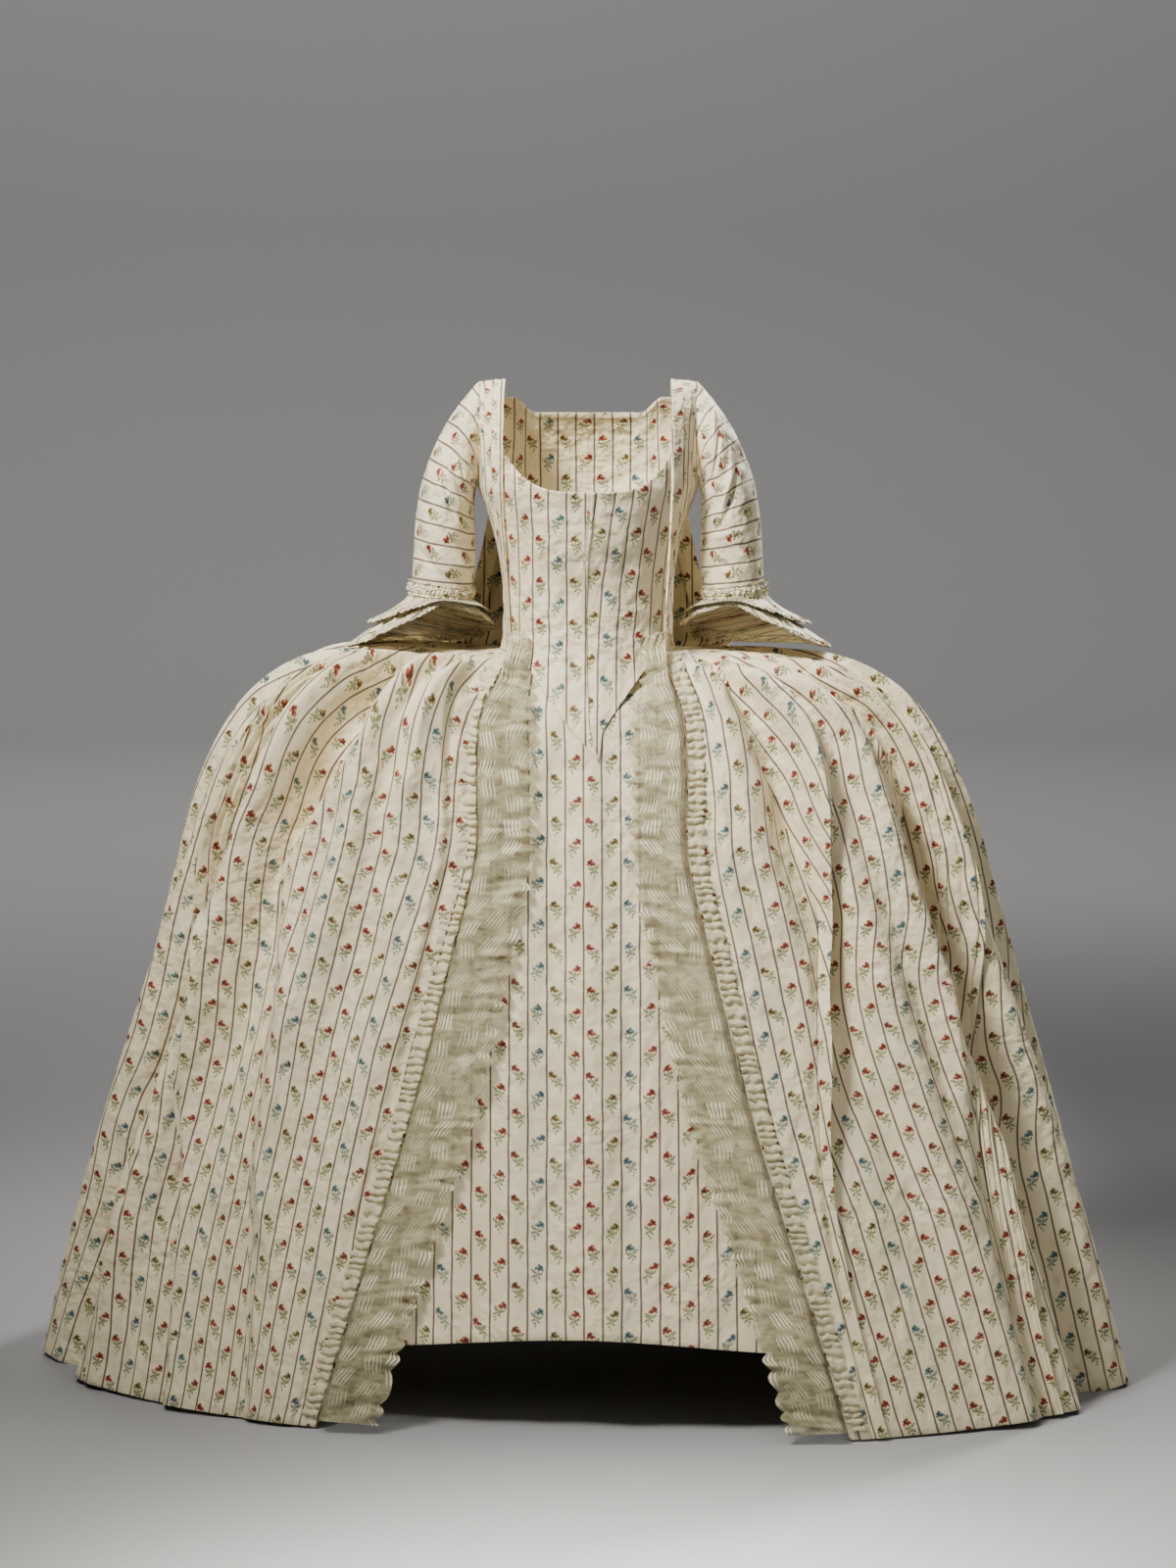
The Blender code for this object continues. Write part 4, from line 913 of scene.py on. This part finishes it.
# ---------------------------------------------------------------- bodice sides and back
# A side panel in two parts, seamed under the arm, and half a fitted back on each side, of the silk
# over linen. The back lies under the pleats and carries them and the sleeves.
BODICE_SEAM = 0.62        # place of the side seam across the side panel
for SIDE, WORD in SIDES:
    share = np.linspace(0, 1, 44)[None, :]
    high = armhole_lift(90 + (2 * share - 1) * (90 - CORNER_ANGLE))
    lift = WAIST + (high - WAIST) * np.linspace(1, 0, 70)[:, None]
    edge = armhole_edge(np.minimum(lift, CHEST)) + 0.2
    angle = 90 + (2 * share - 1) * (90 - edge)
    seams = hump((share - BODICE_SEAM) / 0.03) + hump(share / 0.03) + hump((share - 1) / 0.03)
    crease = 0.0008 * np.sin(lift * 180 + share * 5) * hump((lift - 1.02) / 0.06) * hump(share - 0.4)
    points = on_bodice(angle, lift, 0.0003 - 0.0010 * seams + crease, SIDE)
    lean = (lift - 1.0) * np.where(share > BODICE_SEAM, 0.30, -0.12)
    uv = np.stack([SIDE * (arc(points, 1) - lean) + 0.5, 1.3 - lift], axis=-1)
    worn(f"bodice_side_{WORD}", points, uv, (0.09, 0.25), 0.0125, "stretched", mirrored=SIDE < 0)

BACK_NECK, BACK_SHOULDER = 1.295, 1.3288    # length up to the back's top edge
for SIDE, WORD in SIDES:
    share = np.linspace(0, 1, 44)[None, :]
    high = BACK_NECK + (BACK_SHOULDER - BACK_NECK) * ease((share - 0.40) / 0.20)
    lift = WAIST + (high - WAIST) * np.linspace(1, 0, 90)[:, None]
    edge = armhole_edge(lift) - 0.2
    angle = 180 - 0.1 - share * (edge - 0.1)
    points = on_bodice(angle, lift, 0.0002 - 0.0008 * hump(share / 0.03), SIDE)
    uv = np.stack([SIDE * arc(points, 1) + 0.8, 1.3 - lift + 0 * share], axis=-1)
    worn(f"bodice_back_{WORD}", *turned_edge(points, uv, "top"), (0.17, 0.36), 0.052, "stretched",
         mirrored=SIDE > 0)


# ---------------------------------------------------------------- sack back
# Two widths of the silk, laid in stacked box pleats at the neck and stitched flat across the
# shoulders, fall free of the fitted back and open out over the skirt.
SACK_RUN, SACK_FREE = 12, 3     # rows of the table to the hem, and to the level of the waist
SACK = {
    "centre_height": [1.285, 1.200, 1.090, 0.990, 0.960, 0.935, 0.900, 0.845, 0.755, 0.620,
                      0.430, 0.220, 0.002],
    "centre_y":      [0.0765, 0.118, 0.163, 0.204, 0.217, 0.227, 0.241, 0.264, 0.301, 0.357,
                      0.430, 0.508, 0.586],
    "edge_x":        [0.106, 0.125, 0.148, 0.180, 0.211, 0.245],
    "edge_y":        [0.056, 0.085, 0.120, 0.148, 0.152, 0.130],
    "edge_height":   [1.285, 1.200, 1.085, 0.990, 0.966, 0.950],
}
SACK_FOLDS = [
    # place across, rise of the step (outwards or back in) and hidden cloth, in metres
    (0.045, 0.0095, 0.041), (0.235, 0.0085, 0.038), (0.620, -0.0085, 0.038), (0.835, -0.0095, 0.041),
]
SACK_RIDGES = {
    # place across at the neck and at the hem, half width, rise at the hem
    -1: [(0.04, 0.00, 0.09, -0.016), (0.17, 0.14, 0.10, 0.022), (0.36, 0.32, 0.09, -0.020),
         (0.50, 0.52, 0.10, 0.024), (0.68, 0.72, 0.08, -0.018), (0.84, 0.90, 0.09, 0.016)],
    1: [(0.05, 0.00, 0.08, -0.014), (0.14, 0.16, 0.11, 0.024), (0.33, 0.36, 0.10, -0.022),
        (0.55, 0.56, 0.09, 0.020), (0.70, 0.76, 0.10, -0.020), (0.88, 0.93, 0.07, 0.014)],
}


def sack_point(across, run):
    """The sack back between its centre and its outer edge, which joins the skirt's back edge."""
    free = np.stack([smooth(SACK[column], np.minimum(run, 5))
                     for column in ("edge_x", "edge_y", "edge_height")], axis=-1)
    level = np.clip(run - SACK_FREE, 0, LEVELS)
    sewn = skirt_ring(smooth(SKIRT["back_angle"], level) + BACK_SEAM, level)
    joined = ease((run - 3.6) / 1.4)[..., None]
    edge = free * (1 - joined) + sewn * joined
    centre_y, centre_height = smooth(SACK["centre_y"], run), smooth(SACK["centre_height"], run)
    curve = across ** 2.5
    return np.stack([edge[..., 0] * across, centre_y + (edge[..., 1] - centre_y) * curve,
                     centre_height + (edge[..., 2] - centre_height) * curve], axis=-1)


for SIDE, WORD in SIDES:
    run = np.interp(np.linspace(0, 1, 190), [0, 0.34, 1], [0, SACK_FREE, SACK_RUN])[:, None]
    stops = [0.0012] + [place for place, _, _ in SACK_FOLDS] + [1.0]
    columns, joints, hidden = [], [], []
    for number, (first, last) in enumerate(zip(stops, stops[1:])):
        share = np.linspace(0, 1, 9 + int(70 * (last - first)))
        share = 0.5 * share + 0.5 * (1 - np.cos(math.pi * share)) / 2
        if number:
            joints.append(len(columns))
            share[1] = 0.0011 / (last - first)
        columns += list(first + share * (last - first))
        hidden += [sum(fold[2] for fold in SACK_FOLDS[:number])] * len(share)
    across = np.array(columns)[None, :] + 0 * run
    run = run + 0 * across
    calm = 1 - 0.45 * ease((run - SACK_FREE) / 7)
    relief = np.zeros_like(across)
    for place, step, _ in SACK_FOLDS:
        lip = hump((across - place - math.copysign(0.016, step)) / 0.022) * 0.0030
        relief += (step * ease((across - place + 0.0004) / 0.0011) + lip) * calm
    for top, low, width, rise in SACK_RIDGES[SIDE]:
        centre = top + (low - top) * run / SACK_RUN
        relief += rise * hump((across - centre) / width) * ease((run - 2.2) / 7)
    points = sack_point(across, run)
    points[..., 1] += relief * ease((1.0 - across) / 0.05 + 0.1)
    points = placed(points, SIDE, np.clip(run - SACK_FREE, 0, LEVELS))
    plain = points.copy()
    plain[..., 1] -= relief
    down = arc(plain, 0)
    uv = np.stack([SIDE * (arc(plain, 1) + np.array(hidden)[None, :]) + 0.012 + 2.45,
                   (down + down[:, :1]) / 2], axis=-1)
    points, uv = turned_edge(points, uv, "top", 0.010)
    worn(f"sack_back_{WORD}", *hemmed(points, uv), (0.60, 1.46), 0.55, "hung", joints=joints,
         mirrored=SIDE > 0)


# ---------------------------------------------------------------- sleeves
# Close sleeves of the silk to the elbow, cut with the stripes running round the arm, with one seam
# underneath, and eased into the armhole at the top.
SLEEVE = {                # by row, from the armhole to the elbow
    "outer_x":  [0.1445, 0.168, 0.193, 0.216, 0.227, 0.231, 0.234],
    "outer_h":  [1.327, 1.300, 1.262, 1.208, 1.155, 1.100, 1.048],
    "inner_x":  [0.1485, 0.1500, 0.1510, 0.1505, 0.1495, 0.1510, 0.156],
    "inner_h":  [1.190, 1.178, 1.160, 1.138, 1.112, 1.078, 1.042],
    "depth":    [0.050, 0.056, 0.058, 0.058, 0.056, 0.053, 0.050],
    "centre_y": [0.000, 0.000, 0.000, 0.000, -0.001, -0.002, -0.003],
}
SLEEVE_ROWS = 6
SLEEVE_ROW = 0.05         # a row's length, roughly


def armhole(round_arm):
    """The armhole's closed edge by degrees round the arm, from the shoulder down the front."""
    turned = np.mod(round_arm, 360.0)
    down = np.radians(np.where(turned <= 180, turned, 360 - turned) / 2)
    angle = ARMHOLE_ANGLE + (90 - ARMHOLE_ANGLE) * np.sin(down) ** ARMHOLE_CORNER
    angle = np.where(turned <= 180, angle, 180 - angle)
    return bodice(angle, CHEST + (SHOULDER_TOP - CHEST) * np.cos(down) ** ARMHOLE_CORNER)


def sleeve_section(round_arm, row):
    """The sleeve without its armhole: degrees from the outer side over the front, row down."""
    radians = np.radians(round_arm)
    outer_x, outer_h, inner_x, inner_h, depth, centre_y = [smooth(SLEEVE[key], row) for key in SLEEVE]
    share = (1 + np.cos(radians)) / 2
    return np.stack([inner_x + (outer_x - inner_x) * share, centre_y - depth * np.sin(radians),
                     inner_h + (outer_h - inner_h) * share], axis=-1)


def sleeve_point(round_arm, row):
    """The sleeve, led into the armhole over its first rows."""
    edge = armhole(round_arm)
    edge[..., 0] += 0.0012
    fade = np.clip(1 - np.asarray(row) / 1.5, 0.0, 1.0) ** 2
    first = sleeve_section(round_arm, 0.0 * row)
    return sleeve_section(round_arm, row) + (edge - first) * fade[..., None]


SLEEVE_CREASES = {
    # degrees and row at both ends, half width and rise; a degree round the arm counts as 1 mm
    -1: [(60, 2.4, 118, 3.5, .060, -.0034), (50, 1.9, 120, 2.7, .045, .0028),
         (75, 1.5, 135, 1.9, .040, -.0024), (70, 3.6, 125, 4.3, .050, .0016),
         (40, 4.8, 100, 5.4, .050, -.0014), (110, 4.6, 160, 5.3, .050, .0018),
         (20, 1.0, 80, 1.3, .040, .0016), (300, 2.0, 240, 3.2, .060, -.0030),
         (310, 3.2, 250, 4.2, .060, .0024), (290, 4.6, 230, 5.2, .050, -.0020)],
    1: [(45, 2.0, 115, 3.2, .055, .0030), (55, 2.6, 125, 3.8, .050, -.0028),
        (40, 1.3, 120, 1.8, .040, -.0022), (60, 4.2, 130, 3.9, .045, .0016),
        (50, 5.4, 85, 4.5, .045, .0024), (85, 5.3, 120, 4.7, .040, -.0020),
        (20, 0.8, 75, 1.2, .035, .0018), (300, 1.8, 240, 3.0, .060, -.0030),
        (305, 3.4, 245, 4.1, .060, .0026), (290, 4.4, 225, 5.3, .050, -.0022)],
}
for SIDE, WORD in SIDES:
    turned = np.linspace(-180, 180, 121) + np.zeros((130, 1))
    row = SLEEVE_ROWS * np.linspace(0, 1, 130)[:, None] + 0 * turned
    relief = 0.0003 + 0.0012 * np.sin(np.radians(turned) * 26) * hump(row / 1.1) * hump(turned / 100)
    for lap in (-360, 0, 360):
        lines = [((a + lap) / 1000, r * SLEEVE_ROW, (b + lap) / 1000, s * SLEEVE_ROW, width / 5, rise)
                 for a, r, b, s, width, rise in SLEEVE_CREASES[SIDE]]
        relief += wrinkles(turned / 1000, row * SLEEVE_ROW, lines)
    points = moved_out(sleeve_point, turned, row, relief, (0.5, -0.02))
    up = arc(points, 0)
    up = up[-1] - up
    up = up.mean(axis=1, keepdims=True) * 0.35 + up * 0.65
    around = arc(points, 1)
    around -= around[:, 60, None]
    uv = np.stack([up + 0.15 * STRIPE, 0.02 - around * SIDE], axis=-1)
    worn(f"sleeve_{WORD}", placed(points, SIDE), uv, (0.36, 0.30), 0.075, "stretched", ring=True,
         mirrored=SIDE > 0)


# ---------------------------------------------------------------- sleeve bands
# A narrow strip of the silk, gathered along both edges and stitched round the sleeve's end over
# the cuffs' seam, so that it puffs between the two rows of stitches.
BAND_ROWS = 0.36          # the band's height in the sleeve's rows
BAND_AXIS = (0.1945, -0.003)    # the arm's middle at the sleeve's end
for SIDE, WORD in SIDES:
    turned = np.linspace(-180, 180, 421)[None, :]
    share = np.linspace(0, 1, 30)[:, None]
    radians = np.radians(turned)
    gather = 0.5 + 0.5 * np.sin(radians * 34 + 1.7 * np.sin(share * 5) + 1.2 * np.sin(radians * 5))
    gather += 0.60 * np.sin(radians * 53 + share * 9 + 2 * np.sin(radians * 3))
    gather += 0.35 * np.sin(radians * 83 - share * 13 + 2 * np.sin(radians * 7))
    stitches = hump((share - 0.18) / 0.10) + hump((share - 0.82) / 0.10)
    frill = 0.0022 * (ease((0.10 - share) / 0.1) + ease((share - 0.90) / 0.1))
    out = 0.0034 + 0.0030 * hump((share - 0.5) / 0.62) * (0.45 + 0.55 * gather) - 0.0008 * stitches
    out = out + frill * (0.3 + 0.7 * gather)
    row = SLEEVE_ROWS - BAND_ROWS * (1 - share) + 0.010 * np.sin(radians * 34) * (share - 0.5)
    points = sleeve_point(turned + 0 * row, np.minimum(row, SLEEVE_ROWS))
    points[..., 2] -= np.maximum(row - SLEEVE_ROWS, 0) * SLEEVE_ROW
    away = points[..., :2] - np.array(BAND_AXIS)
    away /= np.linalg.norm(away, axis=-1, keepdims=True)
    points[..., :2] += away * out[..., None]
    uv = np.stack([share * 0.036 + 0.010 + 0.004 * np.sin(radians * 9),
                   radians * 0.120 + 0.005 * gather], axis=-1)
    worn(f"sleeve_band_{WORD}", placed(points, SIDE), uv, (0.31, 0.026), 0.0075, "gathered",
         ring=True, mirrored=SIDE > 0)


# ---------------------------------------------------------------- cuffs
# Two layers of flounce set under each band: short in the crook of the arm and long behind the
# elbow. Their edges are pinked, with a puckered strip of the same silk stitched along them.
CUFF = {                  # by eighths round the arm, from the outer side over the front
    "reach": [0.080, 0.044, 0.008, 0.013, 0.024, 0.048, 0.080, 0.098],
    "drop":  [0.070, 0.040, 0.010, 0.015, 0.030, 0.052, 0.070, 0.074],
}
LAYERS = [
    # name, share of the full length, how far it stands off, waves, flat size and area
    ("lower", 1.0, 0.0, 7, (0.62, 0.115), 0.045),
    ("upper", 0.60, 0.006, 9, (0.52, 0.07), 0.024),
]


def cuff_column(column, round_arm):
    """The cuff table read round the arm as a closed curve."""
    values = CUFF[column]
    return smooth(values[-1:] + values + values[:2], np.mod(round_arm, 360.0) / 45.0 + 1)


def cuff_point(round_arm, down, spread, lifted, ripple, wave):
    """The flounce hanging from the sleeve's end."""
    point = sleeve_point(round_arm, np.full_like(round_arm, SLEEVE_ROWS))
    radians = np.radians(round_arm)
    away = np.stack([np.cos(radians), -np.sin(radians)], axis=-1)
    reach = cuff_column("reach", round_arm)
    flare = np.sin(np.clip(spread * 1.2, 0, 1) * math.pi / 2)
    out = reach * (0.35 * spread + 0.65 * flare * spread)
    out += wave * np.clip(reach / 0.05, 0.15, 1.0) + ripple + lifted * (0.4 + down)
    point[..., :2] += away * out[..., None]
    point[..., 2] -= 0.0004 + cuff_column("drop", round_arm) * spread - 0.6 * lifted * down
    return point


for SIDE, WORD in SIDES:
    for layer, reach, lifted, waves, flat, area in LAYERS:
        down = np.concatenate([np.linspace(0, 0.82, 26), np.linspace(0.835, 1.0, 18)])[:, None]
        turned = np.linspace(0, 360, 441) + 0 * down
        radians, down = np.radians(turned), down + 0 * turned
        length = np.hypot(cuff_column("reach", turned), cuff_column("drop", turned)) * reach
        to_edge = (1 - down) * length
        wave = 0.0052 * np.cos(7 * radians) + 0.0026 * np.cos(waves * 2 * radians + SIDE)
        wave = wave * down ** 1.5 + 0.0018 * np.cos(31 * radians + 2 * np.sin(3 * radians)) * down
        strip = hump((to_edge - 0.009) / 0.011)
        pucker = np.cos(66 * radians + 2.5 * np.sin(9 * radians) + 2.2 * np.sin(to_edge * 420))
        pucker += 0.7 * np.cos(101 * radians + to_edge * 300 + 2 * np.sin(7 * radians))
        ripple = strip * (0.0022 + 0.0013 * pucker) * (0.5 + 0.5 * np.clip(length / 0.03, 0, 1))
        nick = 0.0012 * np.cos(61 * radians + 1.5 * np.sin(5 * radians)) / np.maximum(length, 0.03)
        points = cuff_point(turned, down, down * reach + nick * down ** 8, lifted, ripple, wave)
        points[..., 2] += 0.0009 * np.cos(90 * radians) * hump(down / 0.5)
        around = radians * 0.052 * (1 + 0.9 * down) * (1 + 0.7 * ease(strip * 3))
        uv = np.stack([around * SIDE + 0.3, down * length * 1.1 + 0.008 * strip * pucker + 0.02], axis=-1)
        worn(f"cuff_{layer}_{WORD}", placed(points, SIDE), uv, flat, area, "gathered", ring=True,
             mirrored=SIDE > 0)


# ---------------------------------------------------------------- gauze flounces
# A strip of fine silk gauze down each front edge of the gown, from beside the bodice's point to the
# hem, gathered at the ribbon so that it stands in puffs. Its free edge is cut in scallops.
GROUP_LANE, GROUP_STEP = 0.034, 0.042     # groups of thicker threads, across and along the gauze

# Gauze: sheer, so that the silk shows through it, cloudy where its weave closes up, and brighter
# where the thicker threads catch the light. They lie 5 mm apart, coarser than the real ones, to show.
GAUZE, add, across, down, noise = cloth_material("silk_gauze_ivory", {
    "waver": (60.0, 1.0), "weave": (330.0, 3.0, 4.0, 1.0), "cloud": (75.0, 3.0, 1.0, 1.6)})
lanes, lane, _, steps, row, chance = cells(add, across, down, GROUP_LANE, GROUP_STEP)
drift = add("SeparateXYZ", (chance["Color"],)).node.outputs
spot = []
for number, (place, whole, size_mm) in enumerate(((lanes, lane, GROUP_LANE * 1000),
                                                  (steps, row, GROUP_STEP * 1000))):
    place = add("Math", (place, whole), operation="SUBTRACT")
    place = add("Math", (place, 0.5), operation="SUBTRACT")
    place = add("Math", (place, size_mm), operation="MULTIPLY")
    shift = add("Math", (drift[number], 10.0, -5.0), operation="MULTIPLY_ADD")
    spot.append(add("Math", (place, shift), operation="ADD"))
x, y = spot
lean = add("Math", (drift[2], 0.75, -0.22), operation="MULTIPLY_ADD")
x = add("Math", (y, lean, x), operation="MULTIPLY_ADD")
x = add("Math", (x, 1.7), operation="SUBTRACT")
x = add("Math", (noise["waver"], 3.4, x), operation="MULTIPLY_ADD")
sides = []
for place, full, gone in ((x, 10.2, 11.0), (y, 9.0, 18.5)):
    away = add("Math", (place,), operation="ABSOLUTE")
    sides.append(add("MapRange", (away, full, gone, 1.0, 0.0), interpolation_type="SMOOTHSTEP"))
group = add("Math", (sides[0], sides[1]), operation="MULTIPLY")
thread = add("Math", (x, 2.5), operation="PINGPONG")
thread = add("MapRange", (thread, 0.65, 1.4, 1.0, 0.0), interpolation_type="SMOOTHSTEP")
thread = add("Math", (group, thread), operation="MULTIPLY")
bright = add("Math", (chance["Value"], 0.6, 0.3), operation="MULTIPLY_ADD")
thread = add("Math", (thread, bright), operation="MULTIPLY")
cover = add("Math", (noise["weave"], 0.36, 0.44), operation="MULTIPLY_ADD")
cover = add("Math", (group, 0.03, cover), operation="MULTIPLY_ADD")
cover = add("Math", (thread, 0.5, cover), operation="MULTIPLY_ADD")
cover = add("Math", (cover, 1.0), operation="MINIMUM")
cloud = add("Math", (noise["cloud"], 3.4, -0.95), operation="MULTIPLY_ADD")
colour = add("Mix", {0: cloud, 6: "#8d8460", 7: "#bdb48c"}, 2, data_type="RGBA")
colour = add("Mix", {0: thread, 6: colour, 7: "#f6f0d0"}, 2, data_type="RGBA")
shader = add("BsdfPrincipled", {"Base Color": colour, "Roughness": 0.6, "Specular IOR Level": 0.3,
                                "Sheen Weight": 0.25})
add("OutputMaterial", (add("MixShader", (cover, add("BsdfTransparent"), shader)),))


def edge_levels(first, last, count):
    """Levels at even distances along the gown's front edge."""
    level = np.linspace(first, last, 400)[:, None]
    run = arc(skirt_ring(front_angle(level), level), 0)[:, 0]
    return np.interp(np.linspace(0, run[-1], count), run, level[:, 0])[:, None]


def beside_edge(side, level, inward, relief):
    """A point that far inside the gown's front edge, standing off its skirt."""
    return placed(moved_out(skirt_ring, front_angle(level, inward), level, relief), side, level)


SCALLOPS = 40
HEAD = {"at": [0, 0.12, 0.3, 0.5, 1],     # the gathered end on the bodice, from its top down
        "lift": [1.001, 0.996, 0.985, 0.972, 0.930],
        "outer": [0.094, 0.1025, 0.104, 0.1025, 0.108],
        "inner": [0.087, 0.075, 0.071, 0.069, 0.077]}
HEAD_WIDTH, HEAD_LENGTH = 0.038, 0.08     # of the cloth in it
for SIDE, WORD in SIDES:
    share = np.concatenate([np.linspace(0, 0.22, 9), np.linspace(0.25, 1, 26)])[None, :]
    down = np.linspace(0, 1, SCALLOPS * 16 + 1)[:, None]
    level = edge_levels(0.8, LEVELS - 0.04, len(down))
    beat = SCALLOPS * down + 0.35 * np.sin(down * 31 + SIDE) + 0.2 * np.sin(down * 83)
    beat = 2 * math.pi * beat
    width = smooth(SKIRT["gauze_width"], level)
    wind = 0.5 + 0.5 * np.cos(2 * math.pi * (share * 1.45 - 0.30) + 0.9 * np.sin(beat / 3))
    scallop = 0.0085 * share ** 5 * (np.abs(np.cos(beat / 2)) - 0.55)
    inward = 0.0008 + share * (width - 0.0012) + scallop
    relief = 0.0018 + 0.0165 * ease(share / 0.16) * (1 - 0.92 * share) ** 0.9
    relief = relief + 0.0045 * wind * hump((share - 0.5) / 0.62, 0.5)
    ripple = np.sin(beat / 2.2 + 3.2 * share + 0.9 * np.sin(beat / 5))
    relief += 0.0022 * ripple * hump((share - 0.55) / 0.6, 0.4)
    relief += 0.0007 * np.sin(beat * 1.3 + 7.5 * share + 1.6 * np.sin(beat / 4)) * (0.4 + share)
    relief += 0.0034 * share ** 3 * np.sin(beat + 0.5)
    points = beside_edge(SIDE, level, inward, np.maximum(relief, 0.0006))
    length = arc(points, 0)[:, :1] * 1.35 + HEAD_LENGTH
    uv = np.stack([share * width * 1.05, length + 0 * share], axis=-1)

    turn = np.linspace(0, 1, 44)[:, None]
    lift, outer, inner = [np.interp(turn, HEAD["at"], HEAD[key]) for key in ("lift", "outer", "inner")]
    arch = np.sqrt(np.clip(4 * share * (1 - share), 0, 1))
    puff = 0.0035 + 0.0085 * arch * hump(turn - 0.42, 0.6)
    puff = puff + 0.0014 * np.sin(share * 26 + 5 * turn) * hump(turn - 0.4)
    above = on_bodice(angle_of_x(outer + share * (inner - outer), lift), lift, puff, SIDE)
    joined = ease(turn)[..., None]
    above = above * (1 - joined) + (points[:1] + above - above[-1:]) * joined
    start = np.stack([share * HEAD_WIDTH + 0 * turn, HEAD_LENGTH * turn + 0 * share], axis=-1)
    points, uv = np.concatenate([above[:-1], points]), np.concatenate([start[:-1], uv])
    worn(f"gauze_flounce_{WORD}", points, uv, (0.088, 1.36), 0.108, "gathered", GAUZE, "gauze",
         mirrored=SIDE > 0)


# ---------------------------------------------------------------- ribbon ruches
# Ivory silk ribbon, 24 mm wide, laid in box pleats down each front edge of the gown and stitched
# along its middle, over the gauze's gathers.
RIBBON_WIDTH, RUCHE_WIDTH = 0.024, 0.0200     # flat, and as it lies pleated
PLEATS = 92
RIB = 0.0012              # from rib to rib, coarser than the real ones, so that they show

# Ribbed silk: a little shinier than the taffeta, with fine ribs across and darker woven edges.
RIBBON, add, across, down, noise = cloth_material("silk_ribbon_ivory", {"wear": (60.0, 3.0)})
amount = add("Math", (noise["wear"], 0.35), operation="MULTIPLY")
colour = add("Mix", {0: amount, 6: "#dbd1ab", 7: "#cdbf9b"}, 2, data_type="RGBA")
edge = add("Math", (across, RIBBON_WIDTH / 2), operation="PINGPONG")
edge = add("MapRange", (edge, 0.0010, 0.0016, 1.0, 0.0), interpolation_type="SMOOTHSTEP")
edge = add("Math", (edge, 0.35), operation="MULTIPLY")
colour = add("Mix", {0: edge, 6: colour, 7: "#b7a682"}, 2, data_type="RGBA")
height = add("Math", (down, RIB / 2), operation="PINGPONG")
height = add("Math", (height, 900.0), operation="MULTIPLY")
bump = add("Bump", {"Height": height, "Strength": 0.4, "Distance": 0.0006})
add("OutputMaterial", (add("BsdfPrincipled", {
    "Base Color": colour, "Normal": bump, "Roughness": 0.45, "Specular IOR Level": 0.4,
    "Sheen Weight": 0.2}),))

for SIDE, WORD in SIDES:
    share = np.linspace(0, 1, 9)[None, :]
    down = np.linspace(0, 1, PLEATS * 11 + 1)[:, None]
    level = edge_levels(0.35, LEVELS - 0.05, len(down))
    beat = down * PLEATS + 0.35 * np.sin(down * 57 + SIDE) + 0.2 * np.sin(down * 141)
    beat = beat + 0.10 * np.sin(share * 7 + down * 90)
    pleat = np.floor(beat)
    box = ease((beat - pleat) / 0.14) * ease((0.74 - (beat - pleat)) / 0.14)
    tilt = 0.0012 * np.sin(pleat * 2.4 + share * 4)
    pinch = 1 - 0.5 * hump((share - 0.5) / 0.22)
    relief = 0.0026 + box * (0.0044 * pinch + tilt) + 0.0006 * np.sin(share * 11 + beat * 5)

    # The ruche keeps its width square to the edge, however the edge leans.
    edge = skirt_ring(front_angle(level), level)
    beside = skirt_ring(front_angle(level, -RIBBON_WIDTH), level) - edge
    run = np.gradient(edge[:, 0], axis=0)[:, None]
    run /= np.linalg.norm(run, axis=-1, keepdims=True)
    square = np.linalg.norm(np.cross(beside, run), axis=-1)
    frill = 1 + 0.10 * (box - 0.5)
    outward = 0.0012 + share * frill * RIBBON_WIDTH * RUCHE_WIDTH / square
    points = beside_edge(SIDE, level, 0.0008 * np.sin(pleat * 1.9) - outward, relief)
    length = arc(points, 0)[:, :1] * 1.3
    uv = np.stack([share * RIBBON_WIDTH + 0 * down, length + 0 * share], axis=-1)
    worn(f"ribbon_ruche_{WORD}", points, uv, (0.024, 1.75), 0.040, "gathered", RIBBON, "ribbon",
         mirrored=SIDE < 0)
